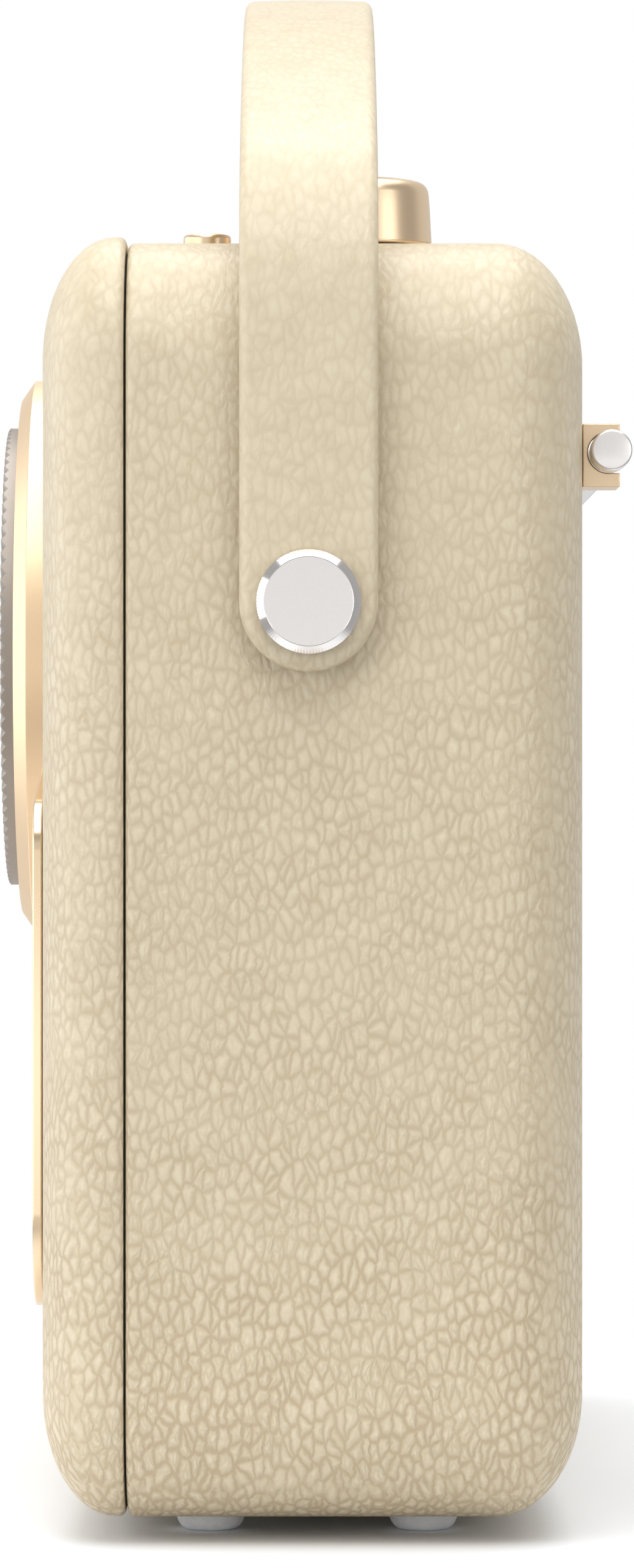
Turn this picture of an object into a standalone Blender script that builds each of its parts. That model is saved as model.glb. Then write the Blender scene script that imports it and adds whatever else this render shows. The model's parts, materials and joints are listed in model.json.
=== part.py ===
"""Tabletop radio: a leather-wrapped cabinet with a gold grille and dial, a swing handle and a telescopic aerial.

Frame: +Z is up, the front faces -Y, and the origin lies on the table under the middle of the radio.
Sizes are in millimetres, and MM turns them into Blender's metres.
"""

import math

import bmesh
import bpy
from mathutils import Vector

MM = 0.001
RIGHT = Vector((1, 0, 0))
BACK = Vector((0, 1, 0))
UP = Vector((0, 0, 1))
FRONT = -BACK

# Cabinet
HALF_WIDTH = 142.5
FRONT_Y = -42.1
REAR_Y = 44.9
SEAM_Y = -28.4
SEAM_GAP = 0.7
BOTTOM_Z = 3.5
TOP_Z = 208.8
FRAME_TOP_Z = 209.8
CORNER = 20.0
WALL = 4.0
GAP = 0.3

# Dial, on the front
DIAL_Z = 144.5
BEZEL_RADIUS = 49.5
BEZEL_FRONT = 50.4
DIAL_RADIUS = 41.0
DIAL_FRONT = 52.9
HUB_RADIUS = 32.8

# Grille, on the front under the dial
GRILLE_SIDE = 117.5
GRILLE_BOTTOM = 35.9
GRILLE_SHOULDER = 118.0
GRILLE_SLOPE = math.radians(9.5)
GRILLE_FRONT = 44.0
GRILLE_BORDER = 7.0
SPEAKER_X = 66.0
SPEAKER_Z = 76.0

# Controls, on the top
KNOB_X = 107.5
KNOB_Y = 10.0
KNOB_BASE_Z = 209.5
BUTTON_Y = -15.7
BUTTON_TOP_Z = 210.9
BUTTON_RADIUS = 3.86
BUTTONS = {
    "power_button": -114.0,
    "band_button": -94.0,
    "memory_button": -74.0,
    "light_button": 74.0,
    "alarm_button": 94.0,
    "mute_button": 114.0,
}
CONTROL_BOARD_Z = 190.0

# Handle, swinging on two studs
STUD_Y = 0.8
STUD_Z = 150.3
STRAP_WIDTH = 22.0
STRAP_THICKNESS = 3.6
STRAP_X = 146.6
STRAP_STRAIGHT = 48.0
STRAP_ARCH_RADIUS = 264.0
STRAP_ARCH_ANGLE = math.radians(30)
STUD_RADIUS = 8.35

# Aerial, lying along the back
AERIAL_Y = 49.6
AERIAL_Z = 175.4
AERIAL_PIVOT_X = -105.2
MAST_START_X = -100.8
CLIP_X = (104.0, 116.5)
TIP_X = (116.9, 125.5)
TIP_RADIUS = 3.3

# Back and underside
DOOR_X = (-75.0, 5.0)
DOOR_Z = (24.0, 64.0)
SOCKET_X = (30.0, 80.0)
SOCKET_Z = (24.0, 46.0)
SCREW_X = 100.0
SCREW_Z = (30.0, 182.0)
FOOT_X = 110.0
FOOT_Y = (-15.2, 19.5)

# Finish: base colour, roughness, metallic
FINISHES = {
    "leatherette": ((0.69, 0.60, 0.42), 0.55, 0.0),
    "gold": ((0.83, 0.60, 0.38), 0.30, 1.0),
    "silver": ((0.74, 0.72, 0.70), 0.30, 1.0),
    "black_rubber": ((0.02, 0.02, 0.02), 0.80, 0.0),
    "black_plastic": ((0.03, 0.03, 0.03), 0.50, 0.0),
    "grey_plastic": ((0.45, 0.45, 0.46), 0.45, 0.0),
    "fibreboard": ((0.36, 0.25, 0.15), 0.80, 0.0),
    "glass": ((0.05, 0.05, 0.06), 0.05, 0.0),
    "paper": ((0.05, 0.05, 0.05), 0.90, 0.0),
    "steel": ((0.55, 0.55, 0.56), 0.35, 1.0),
    "circuit_board": ((0.03, 0.20, 0.08), 0.45, 0.0),
    "battery_wrap": ((0.05, 0.12, 0.30), 0.40, 0.0),
    "cream_plastic": ((0.66, 0.58, 0.43), 0.45, 0.0),
}


def clear_scene():
    for obj in list(bpy.data.objects):
        bpy.data.objects.remove(obj, do_unlink=True)


def make_collection(name, hidden=False):
    collection = bpy.data.collections.new(name)
    bpy.context.scene.collection.children.link(collection)
    collection.hide_render = hidden
    return collection


clear_scene()
RADIO = make_collection("tabletop_radio")
CUTTERS = make_collection("cutters", hidden=True)


# Tools


def apply_finish(obj, finish):
    colour, roughness, metallic = FINISHES[finish]
    material = bpy.data.materials.new(obj.name)
    material.use_nodes = True
    shader = material.node_tree.nodes["Principled BSDF"]
    shader.inputs["Base Color"].default_value = (*colour, 1.0)
    shader.inputs["Roughness"].default_value = roughness
    shader.inputs["Metallic"].default_value = metallic
    obj.data.materials.append(material)


def place(name, mesh, finish, at=(0, 0, 0), axis=UP):
    """Adds MESH to the radio, or to the cutters where FINISH is None, with its local +Z along AXIS."""
    obj = bpy.data.objects.new(name, mesh)
    obj.location = Vector(at) * MM
    obj.rotation_euler = UP.rotation_difference(axis).to_euler()
    if finish is None:
        CUTTERS.objects.link(obj)
        obj.hide_render = True
        obj.display_type = "WIRE"
    else:
        RADIO.objects.link(obj)
        apply_finish(obj, finish)
    return obj


def mesh_from(shape, name):
    bmesh.ops.scale(shape, vec=(MM, MM, MM), verts=shape.verts)
    bmesh.ops.recalc_face_normals(shape, faces=shape.faces)
    mesh = bpy.data.meshes.new(name)
    shape.to_mesh(mesh)
    shape.free()
    return mesh


def box(name, low, high, finish=None, soften=0.0):
    """A block between two corners. SOFTEN rounds all its edges."""
    low, high = Vector(low), Vector(high)
    shape = bmesh.new()
    bmesh.ops.create_cube(shape, size=1.0)
    bmesh.ops.scale(shape, vec=high - low, verts=shape.verts)
    obj = place(name, mesh_from(shape, name), finish, at=(low + high) / 2)
    if soften:
        bevel = obj.modifiers.new("soften", "BEVEL")
        bevel.width = soften * MM
        bevel.segments = 2
    return obj


def rod(name, start, axis, length, radius, finish=None, sides=16):
    """A cylinder that begins at START and runs LENGTH along AXIS."""
    shape = bmesh.new()
    bmesh.ops.create_cone(
        shape, cap_ends=True, segments=sides, radius1=radius, radius2=radius, depth=length
    )
    middle = Vector(start) + Vector(axis) * (length / 2)
    return place(name, mesh_from(shape, name), finish, at=middle, axis=Vector(axis))


def turned(name, profile, at, axis, finish=None, steps=18):
    """Turns PROFILE, (radius, height) points down the outer side, round AXIS. A ring's profile is a closed loop."""
    ring = min(radius for radius, height in profile) > 0
    shape = bmesh.new()
    points = [shape.verts.new((radius, 0, height)) for radius, height in profile]
    for point, following in zip(points, points[1:]):
        shape.edges.new((point, following))
    if ring:
        shape.edges.new((points[-1], points[0]))
    obj = place(name, mesh_from(shape, name), finish, at=at, axis=axis)
    screw = obj.modifiers.new("turn", "SCREW")
    screw.steps = steps
    screw.render_steps = steps
    screw.use_merge_vertices = True
    screw.merge_threshold = 0.00001
    screw.use_smooth_shade = True
    return obj


def combine(obj, operation, others):
    """Cuts OTHERS from OBJ, or joins them to it, with one exact Boolean."""
    tools = bpy.data.collections.new(obj.name + "_" + operation.lower())
    CUTTERS.children.link(tools)
    for other in others:
        CUTTERS.objects.unlink(other)
        tools.objects.link(other)
    boolean = obj.modifiers.new(operation.lower(), "BOOLEAN")
    boolean.operation = operation
    boolean.operand_type = "COLLECTION"
    boolean.collection = tools
    boolean.solver = "EXACT"
    return obj


def cut(obj, *others):
    return combine(obj, "DIFFERENCE", others)


def join(obj, *others):
    return combine(obj, "UNION", others)


def arc(centre, radius, start, end, steps):
    """Points on an arc in a plane, angles in degrees."""
    angles = [math.radians(start + (end - start) * step / steps) for step in range(steps + 1)]
    return [(centre[0] + radius * math.cos(a), centre[1] + radius * math.sin(a)) for a in angles]


def plate(name, outline, y, thickness, finish=None):
    """A flat piece facing the front: OUTLINE holds (x, z) points, and its front face lies at Y."""
    curve = bpy.data.curves.new(name, "CURVE")
    curve.dimensions = "2D"
    curve.fill_mode = "BOTH"
    curve.extrude = thickness / 2 * MM
    spline = curve.splines.new("POLY")
    spline.points.add(len(outline) - 1)
    for point, (x, z) in zip(spline.points, outline):
        point.co = (x * MM, z * MM, 0, 1)
    spline.use_cyclic_u = True
    guide = bpy.data.objects.new(name + "_outline", curve)
    RADIO.objects.link(guide)
    graph = bpy.context.evaluated_depsgraph_get()
    mesh = bpy.data.meshes.new_from_object(guide.evaluated_get(graph))
    bpy.data.objects.remove(guide)
    shape = bmesh.new()
    shape.from_mesh(mesh)
    bmesh.ops.remove_doubles(shape, verts=shape.verts, dist=0.00001)
    bmesh.ops.recalc_face_normals(shape, faces=shape.faces)
    shape.to_mesh(mesh)
    shape.free()
    mesh.name = name
    obj = place(name, mesh, finish, at=(0, y + thickness / 2, 0))
    obj.rotation_euler = (math.pi / 2, 0, 0)
    return obj


def rounded_rectangle(half_width, low, high, radius, steps=6):
    left, right = -half_width + radius, half_width - radius
    bottom, top = low + radius, high - radius
    corners = [(right, top, 0), (left, top, 90), (left, bottom, 180), (right, bottom, 270)]
    return [p for x, z, turn in corners for p in arc((x, z), radius, turn, turn + 90, steps)]


def cushioned_box(name, low, high, corner, depth, end, rim=0.0, segments=5, finish=None):
    """A box with round long edges of radius CORNER, whose END (-1 front, 1 back) rolls over in DEPTH.

    The roll is a quarter ellipse, CORNER by DEPTH, so the box is stretched, bevelled and let back.
    """
    low, high = Vector(low), Vector(high)
    size = high - low
    stretch = corner / depth
    shape = bmesh.new()
    bmesh.ops.create_cube(shape, size=1.0)
    bmesh.ops.scale(shape, vec=(size.x, size.y * stretch, size.z), verts=shape.verts)
    long_edges = [e for e in shape.edges if abs(e.verts[0].co.y - e.verts[1].co.y) > 1]
    end_edges = [e for e in shape.edges if all(v.co.y * end > 0 for v in e.verts)]
    bmesh.ops.bevel(
        shape,
        geom=long_edges + end_edges,
        offset=corner,
        segments=segments,
        profile=0.5,
        affect="EDGES",
    )
    bmesh.ops.scale(shape, vec=(1, 1 / stretch, 1), verts=shape.verts)
    if rim:
        open_y = -end * size.y / 2
        rim_edges = [e for e in shape.edges if all(abs(v.co.y - open_y) < 0.01 for v in e.verts)]
        bmesh.ops.bevel(shape, geom=rim_edges, offset=rim, segments=1, profile=0.5, affect="EDGES")
    return place(name, mesh_from(shape, name), finish, at=(low + high) / 2)


# Cabinet


def make_rear_shell():
    front = SEAM_Y + SEAM_GAP / 2
    inner_low = (-HALF_WIDTH + WALL, front - 10, BOTTOM_Z + WALL)
    inner_high = (HALF_WIDTH - WALL, REAR_Y - WALL, TOP_Z - WALL)
    shell = cushioned_box(
        "rear_shell",
        (-HALF_WIDTH, front, BOTTOM_Z),
        (HALF_WIDTH, REAR_Y, TOP_Z),
        CORNER,
        14.0,
        1,
        rim=1.4,
        finish="leatherette",
    )
    cut(shell, cushioned_box("shell_hollow", inner_low, inner_high, CORNER - WALL, 10.0, 1, segments=3))
    bosses = [
        rod(f"stud_boss_{side}", (side * 133, STUD_Y, STUD_Z), RIGHT * side, 6.5, 7.0)
        for side in (-1, 1)
    ]
    join(shell, *bosses)
    holes = [
        box("door_hole", (DOOR_X[0], 35, DOOR_Z[0]), (DOOR_X[1], 60, DOOR_Z[1])),
        box("socket_hole", (SOCKET_X[0], 35, SOCKET_Z[0]), (SOCKET_X[1], 60, SOCKET_Z[1])),
    ]
    for side in (-1, 1):
        holes.append(rod("stud_hole", (side * 120, STUD_Y, STUD_Z), RIGHT * side, 40, 3.3))
        holes.append(rod("shaft_hole", (side * KNOB_X, KNOB_Y, 195), UP, 30, 3.8))
        holes += [rod("peg_hole", (side * FOOT_X, y, 0), UP, 15, 2.4) for y in FOOT_Y]
        for z in SCREW_Z:
            holes.append(rod("screw_hole", (side * SCREW_X, 30, z), BACK, 12.6, 1.9))
            holes.append(rod("screw_recess", (side * SCREW_X, 42.3, z), BACK, 10, 3.6))
    holes += [rod("button_hole", (x, BUTTON_Y, 195), UP, 30, BUTTON_RADIUS + 0.35) for x in BUTTONS.values()]
    cut(shell, *holes)


def make_front_frame():
    back = SEAM_Y - SEAM_GAP / 2
    frame = cushioned_box(
        "front_frame",
        (-HALF_WIDTH, FRONT_Y, BOTTOM_Z + 0.1),
        (HALF_WIDTH, back, FRAME_TOP_Z),
        CORNER,
        11.8,
        -1,
        rim=1.4,
        finish="leatherette",
    )
    hollow = cushioned_box(
        "frame_hollow",
        (-HALF_WIDTH + WALL, FRONT_Y + WALL, BOTTOM_Z + WALL),
        (HALF_WIDTH - WALL, back + 10, TOP_Z - WALL),
        10.0,
        6.0,
        -1,
        segments=3,
    )
    openings = [rod("speaker_window", (x, -50, SPEAKER_Z), BACK, 20, 30, sides=24) for x in (-SPEAKER_X, SPEAKER_X)]
    openings.append(rod("dial_window", (0, -50, DIAL_Z), BACK, 20, 45.3, sides=36))
    cut(frame, hollow, *openings)


def make_gasket():
    outline = rounded_rectangle(HALF_WIDTH - 1.6, BOTTOM_Z + 1.6, TOP_Z - 1.6, CORNER - 1.6)
    inside = rounded_rectangle(HALF_WIDTH - 3.8, BOTTOM_Z + 3.8, TOP_Z - 3.8, CORNER - 3.8)
    gasket = plate("seam_gasket", outline, SEAM_Y - 0.2, 0.4, "black_rubber")
    cut(gasket, plate("gasket_hole", inside, SEAM_Y - 2, 4))


def make_baffle():
    """The board behind the front, with four long posts that the case screws bite into."""
    board = plate("baffle_board", rounded_rectangle(130, 16.5, 197, 9), -37.6, 5, "fibreboard")
    places = [(side * SCREW_X, z) for side in (-1, 1) for z in SCREW_Z]
    join(board, *[rod("post", (x, -34, z), BACK, 74, 4.4, sides=16) for x, z in places])
    holes = [rod("speaker_hole", (x, -45, SPEAKER_Z), BACK, 20, 28.5) for x in (-SPEAKER_X, SPEAKER_X)]
    holes.append(rod("cable_hole", (0, -45, DIAL_Z), BACK, 20, 12))
    holes += [rod("screw_bore", (x, 20, z), BACK, 30, 1.9, sides=16) for x, z in places]
    cut(board, *holes)


# Front: grille, dial and speakers


def grille_outline(inset):
    """The grille's edge: a wide tray whose sloping shoulders run up to the dial. It starts at the bottom left."""
    side = GRILLE_SIDE - inset
    bottom = GRILLE_BOTTOM + inset
    bottom_radius = 16 - inset
    top_radius = 8.5 - inset / 2
    slope = math.tan(GRILLE_SLOPE)
    peak = GRILLE_SHOULDER - inset / math.cos(GRILLE_SLOPE) + GRILLE_SIDE * slope
    corner_x = side - top_radius
    corner_z = peak - slope * corner_x - top_radius / math.cos(GRILLE_SLOPE)
    around_dial = BEZEL_RADIUS + GAP + inset
    drop = peak - DIAL_Z
    reach = slope * drop + math.sqrt((slope * drop) ** 2 - (1 + slope**2) * (drop**2 - around_dial**2))
    meet_x = reach / (1 + slope**2)
    meet = math.degrees(math.atan2(peak - slope * meet_x - DIAL_Z, meet_x))
    lean = 90 - math.degrees(GRILLE_SLOPE)
    return (
        arc((-side + bottom_radius, bottom + bottom_radius), bottom_radius, 180, 270, 5)
        + arc((side - bottom_radius, bottom + bottom_radius), bottom_radius, 270, 360, 5)
        + arc((corner_x, corner_z), top_radius, 0, lean, 4)
        + arc((0, DIAL_Z), around_dial, meet, -180 - meet, 24)
        + arc((-corner_x, corner_z), top_radius, 180 - lean, 180, 4)
    )


def make_grille():
    surround = plate("grille_plate", grille_outline(0), -GRILLE_FRONT, 1.6, "gold")
    cut(surround, plate("grille_window", grille_outline(GRILLE_BORDER), -60, 40))
    plate("grille_mesh", grille_outline(GRILLE_BORDER + GAP), -43.4, 0.9, "gold")


def make_dial():
    """The dial turns in the bezel, round a fixed hub that carries the display. Heights count towards the front."""
    middle = (0, 0, DIAL_Z)
    lip = DIAL_RADIUS + 0.5
    bezel = [
        (46.2, BEZEL_FRONT),
        (BEZEL_RADIUS, 48.1),
        (BEZEL_RADIUS, 42.4),
        (44.8, 42.4),
        (44.8, 47.2),
        (lip, 47.2),
        (lip, BEZEL_FRONT),
    ]
    dial = [
        (DIAL_RADIUS - 0.6, DIAL_FRONT),
        (DIAL_RADIUS, DIAL_FRONT - 0.6),
        (DIAL_RADIUS, 46.9),
        (44.4, 46.9),
        (44.4, 45.4),
        (HUB_RADIUS + 0.4, 45.4),
        (HUB_RADIUS + 0.4, DIAL_FRONT),
    ]
    housing = [
        (HUB_RADIUS, 50.2),
        (HUB_RADIUS, 45.1),
        (44.4, 45.1),
        (44.4, 38.0),
        (26, 38.0),
        (26, 48.5),
        (30.5, 48.5),
        (30.5, 50.2),
    ]
    lens = [(0, 52.0), (14, 51.8), (24, 51.1), (30.2, 50.3), (30.2, 48.8), (0, 48.8)]
    turned("dial_bezel", bezel, middle, FRONT, "gold", steps=44)
    turned("dial_ring", dial, middle, FRONT, "silver", steps=36)
    turned("dial_housing", housing, middle, FRONT, "black_plastic", steps=28)
    turned("display_lens", lens, middle, FRONT, "glass", steps=28)
    display = rod("display_module", (0, -41, DIAL_Z), FRONT, 3, 25.4, "black_plastic", sides=24)
    join(display, box("screen", (-19, -48.2, DIAL_Z - 14), (19, -43, DIAL_Z + 14)))


def make_speaker(side, x):
    """Heights count from the basket's back plate towards the front."""
    at = (x, -14, SPEAKER_Z)
    basket = [(33, 18.3), (33, 16.3), (29.5, 16.3), (18, 0), (6, 0), (6, 2), (16.5, 2), (27.8, 18.3)]
    cone = [(0, 10), (7, 8.6), (10, 6.4), (22.5, 15), (24.6, 15.6), (24.6, 14.7), (22.5, 13.7), (9, 4.4), (0, 4.4)]
    turned(f"{side}_speaker_basket", basket, at, FRONT, "steel")
    turned(f"{side}_speaker_cone", cone, at, FRONT, "paper")
    rod(f"{side}_speaker_magnet", (x, -13.7, SPEAKER_Z), BACK, 12, 20, "steel")


# Top: knobs and buttons


def make_knob(name, sensor, x):
    at = (x, KNOB_Y, 0)
    knob = [
        (0, 220.9),
        (6, 220.4),
        (8.2, 220.0),
        (9.5, 219.3),
        (10.3, 218.5),
        (10.5, 217.6),
        (10.9, KNOB_BASE_Z + 0.3),
        (10.6, KNOB_BASE_Z),
        (2.4, KNOB_BASE_Z),
        (2.4, 216.3),
        (0, 216.3),
    ]
    can = [(3.4, 208.5), (3.4, 202), (8.5, 202), (8.5, 191.9), (2.4, 191.9), (2.4, 208.5)]
    turned(f"{name}_knob", knob, at, UP, "gold", steps=20)
    turned(f"{name}_{sensor}", can, at, UP, "steel", steps=14)
    rod(f"{name}_shaft", (x, KNOB_Y, 193), UP, 23, 2.1, "steel", sides=16)


def make_button(name, x):
    profile = [
        (0, BUTTON_TOP_Z),
        (2.9, BUTTON_TOP_Z - 0.05),
        (3.6, BUTTON_TOP_Z - 0.5),
        (BUTTON_RADIUS, BUTTON_TOP_Z - 1.2),
        (BUTTON_RADIUS, 204.4),
        (5.2, 204.4),
        (5.2, 203.2),
        (0, 200.8),
    ]
    turned(name, profile, (x, BUTTON_Y, 0), UP, "gold", steps=12)


def make_control_board():
    low = (-126, -24, CONTROL_BOARD_Z)
    board = box("control_board", low, (126, 24, CONTROL_BOARD_Z + 1.6), "circuit_board")
    switches = [
        box("switch", (x - 3, BUTTON_Y - 3, CONTROL_BOARD_Z + 1), (x + 3, BUTTON_Y + 3, 199.6))
        for x in BUTTONS.values()
    ]
    join(board, *switches)


# Inside


def make_electronics():
    board = box("main_board", (-80, 24, 66), (80, 25.6, 156), "circuit_board")
    chips = [((-30, 25, 90), (-8, 28.4, 112)), ((20, 25, 80), (44, 30, 92)), ((50, 25, 120), (66, 37, 136))]
    join(board, *[box("chip", low, high) for low, high in chips])
    box("tuner_can", (-74, 25.9, 118), (-44, 35, 150), "steel", soften=1.0)


def make_battery():
    box("battery_pack", (DOOR_X[0] + 4, 12, DOOR_Z[0] + 4), (DOOR_X[1] - 4, 38, DOOR_Z[1] - 4), "battery_wrap", 2.0)
    tray = box("battery_box", (DOOR_X[0] - 1.2, 8, DOOR_Z[0] - 1.2), (DOOR_X[1] + 1.2, 40.6, DOOR_Z[1] + 1.2), "black_plastic")
    cut(tray, box("tray_hollow", (DOOR_X[0] + 1, 10, DOOR_Z[0] + 1), (DOOR_X[1] - 1, 60, DOOR_Z[1] - 1)))
    door_low = (DOOR_X[0] + 0.5, 42.0, DOOR_Z[0] + 0.5)
    door = box("battery_door", door_low, (DOOR_X[1] - 0.5, 44.6, DOOR_Z[1] - 0.5), "cream_plastic")
    cut(door, box("finger_notch", (-42, 43.8, DOOR_Z[1] - 6), (-28, 50, DOOR_Z[1] - 3)))
    set_origin(door, (0, 44.6, DOOR_Z[0] + 1.6))


def make_sockets():
    low = (SOCKET_X[0] + 0.4, 41.4, SOCKET_Z[0] + 0.4)
    panel = box("socket_panel", low, (SOCKET_X[1] - 0.4, 43.6, SOCKET_Z[1] - 0.4), "black_plastic")
    power_x, phones_x, z = SOCKET_X[0] + 15, SOCKET_X[0] + 35, sum(SOCKET_Z) / 2
    cut(panel, *[rod("socket_hole", (x, 35, z), BACK, 20, r) for x, r in ((power_x, 5.3), (phones_x, 3.5))])
    barrel = [(0, 42.6), (1.0, 42.2), (1.0, 33), (2.8, 33), (2.8, 43.8), (5.0, 43.8), (5.0, 31), (0, 31)]
    turned("power_socket", barrel, (power_x, 0, z), BACK, "black_plastic", steps=20)
    jack = rod("headphone_socket", (phones_x, 29, z), BACK, 14.8, 3.2, "steel", sides=20)
    cut(jack, rod("jack_bore", (phones_x, 31, z), BACK, 20, 1.8, sides=16))


# Handle


def strap_path():
    """Rows of (x, height above the studs, half width), from the right-hand round end over the top to the left."""
    half = STRAP_WIDTH / 2
    rows = [(STRAP_X, -half * math.sin(math.radians(a)), half * math.cos(math.radians(a))) for a in (84, 66, 48, 30, 14)]
    rows += [(STRAP_X, 0, half), (STRAP_X, STRAP_STRAIGHT / 2, half)]
    arch_end = STRAP_ARCH_RADIUS * math.sin(STRAP_ARCH_ANGLE)
    bend = (STRAP_X - arch_end) / (1 - math.sin(STRAP_ARCH_ANGLE))
    turn = 90 - math.degrees(STRAP_ARCH_ANGLE)
    rows += [(x, z, half) for x, z in arc((STRAP_X - bend, STRAP_STRAIGHT), bend, 0, turn, 7)]
    low = STRAP_STRAIGHT + bend * math.cos(STRAP_ARCH_ANGLE) - STRAP_ARCH_RADIUS * math.cos(STRAP_ARCH_ANGLE)
    rows += [(x, z, half) for x, z in arc((0, low), STRAP_ARCH_RADIUS, turn, 90, 8)[1:]]
    return rows + [(-x, z, width) for x, z, width in reversed(rows[:-1])]


def make_strap():
    shape = bmesh.new()
    rows = [[shape.verts.new((x, side * width, z)) for side in (-1, 1)] for x, z, width in strap_path()]
    for row, following in zip(rows, rows[1:]):
        shape.faces.new((row[0], row[1], following[1], following[0]))
    strap = place("handle_strap", mesh_from(shape, "handle_strap"), "leatherette", at=(0, STUD_Y, STUD_Z))
    solidify = strap.modifiers.new("thickness", "SOLIDIFY")
    solidify.thickness = STRAP_THICKNESS * MM
    solidify.offset = 0
    bevel = strap.modifiers.new("round_edges", "BEVEL")
    bevel.width = 1.0 * MM
    bevel.segments = 1
    bevel.angle_limit = math.radians(50)
    bevel.limit_method = "ANGLE"
    cut(strap, *[rod("strap_hole", (side * 130, STUD_Y, STUD_Z), RIGHT * side, 30, 3.4) for side in (-1, 1)])


def make_stud(side, direction):
    at = (direction * STRAP_X, STUD_Y, STUD_Z)
    face = STRAP_THICKNESS / 2 + 3.2
    head = STRAP_THICKNESS / 2 + GAP
    rim = STUD_RADIUS
    profile = [(0, face), (rim - 1.2, face), (rim, face - 1.2), (rim, head), (3.0, head), (3.0, -12), (0, -12)]
    spacer = [(8.0, -2.1), (8.0, -3.8), (3.4, -3.8), (3.4, -2.1)]
    turned(f"{side}_stud", profile, at, RIGHT * direction, "silver", steps=22)
    turned(f"{side}_spacer", spacer, at, RIGHT * direction, "black_rubber")


# Aerial


def make_clip():
    low = (CLIP_X[0], REAR_Y + GAP, 169.8)
    clip = box("aerial_clip", low, (CLIP_X[1], 51.3, 180.1), "gold")
    groove = rod("groove", (CLIP_X[0] - 5, 49.4, AERIAL_Z), RIGHT, 25, 3.3)
    mouth = box("mouth", (CLIP_X[0] - 5, 49.4, AERIAL_Z - 3.3), (CLIP_X[1] + 5, 60, AERIAL_Z + 3.3))
    cut(clip, groove, mouth)


def make_swivel():
    """The base holds a spindle along X, and the spindle's round fork holds the mast on a pin."""
    base = box("aerial_base", (-124, REAR_Y + GAP, 169.4), (-112, 52.6, 181.4), "gold", soften=0.8)
    cut(base, rod("spindle_bore", (-123, AERIAL_Y, AERIAL_Z), RIGHT, 20, 2.5))
    dome = arc((0, 0), 3.4, 84, 12, 5)
    profile = [(0, 3.4)] + dome + [(3.4, -6.0), (2.2, -6.0), (2.2, -16.0), (0, -16.0)]
    pivot = (AERIAL_PIVOT_X, AERIAL_Y, AERIAL_Z)
    fork = turned("aerial_swivel", profile, pivot, RIGHT, "silver")
    slot = box("slot", (AERIAL_PIVOT_X - 3.4, 40, AERIAL_Z - 1.4), (-95, 60, AERIAL_Z + 1.4))
    cut(fork, slot, rod("pin_hole", (AERIAL_PIVOT_X, AERIAL_Y, 165), UP, 20, 1.1, sides=16))
    rod("aerial_pin", (AERIAL_PIVOT_X, AERIAL_Y, AERIAL_Z - 3), UP, 6, 0.85, "steel", sides=16)


def make_mast():
    """Three tubes and a rod, one inside the other. Each outer tube starts further back."""
    mast = tube("aerial_tube_1", MAST_START_X, 115.0, 2.8, 2.45)
    tongue = rod("tongue", (AERIAL_PIVOT_X, AERIAL_Y, AERIAL_Z - 1.1), UP, 2.2, 2.6, sides=20)
    blade = box("blade", (AERIAL_PIVOT_X, AERIAL_Y - 2.4, AERIAL_Z - 1.1), (-99.5, AERIAL_Y + 2.4, AERIAL_Z + 1.1))
    join(mast, tongue, blade)
    cut(mast, rod("tongue_hole", (AERIAL_PIVOT_X, AERIAL_Y, 165), UP, 20, 1.15, sides=16))
    set_origin(mast, (AERIAL_PIVOT_X, AERIAL_Y, AERIAL_Z))
    tube("aerial_tube_2", MAST_START_X + 2.4, 115.5, 2.2, 1.85)
    tube("aerial_tube_3", MAST_START_X + 4.8, 116.0, 1.6, 1.25)
    rod("aerial_rod", (MAST_START_X + 7.2, AERIAL_Y, AERIAL_Z), RIGHT, 214.6, 1.0, "silver", sides=16)
    tip = [(0, 8.6), (TIP_RADIUS - 0.25, 8.6), (TIP_RADIUS, 8.35), (TIP_RADIUS, 0.2), (3.0, 0), (1.25, 0), (1.25, 4.5), (0, 4.5)]
    turned("aerial_tip", tip, (TIP_X[0], AERIAL_Y, AERIAL_Z), RIGHT, "silver")


def tube(name, start, end, outer, inner):
    """A tube along X, closed behind and open at END."""
    body = rod(name, (start, AERIAL_Y, AERIAL_Z), RIGHT, end - start, outer, "silver", sides=16)
    bore = rod(name + "_bore", (start + 2, AERIAL_Y, AERIAL_Z), RIGHT, end - start, inner, sides=16)
    return cut(body, bore)


def set_origin(obj, origin):
    """Moves the object's origin to a point on its joint's axis, and leaves its shape in place."""
    shift = Vector(origin) * MM - obj.location
    turn = obj.rotation_euler.to_matrix()
    for vertex in obj.data.vertices:
        vertex.co -= turn.transposed() @ shift
    obj.location += shift


# Feet and fasteners


def make_foot(name, x, y):
    profile = [(0, 6.8), (2.1, 6.8), (2.1, 3.2), (5.6, 3.2), (5.5, 1.9), (4.9, 0.8), (3.9, 0.15), (3.2, 0), (0, 0)]
    turned(name, profile, (x, y, 0), UP, "grey_plastic", steps=14)


def make_screw(name, x, z):
    profile = [(0, 44.5), (2.6, 44.5), (3.2, 44.0), (3.2, 42.6), (1.6, 42.6), (1.6, 24), (0, 24)]
    screw = turned(name, profile, (x, 0, z), BACK, "steel", steps=12)
    slots = [
        box("slot_across", (x - 1.8, 43.5, z - 0.35), (x + 1.8, 50, z + 0.35)),
        box("slot_up", (x - 0.35, 43.5, z - 1.8), (x + 0.35, 50, z + 1.8)),
    ]
    cut(screw, *slots)


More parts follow.
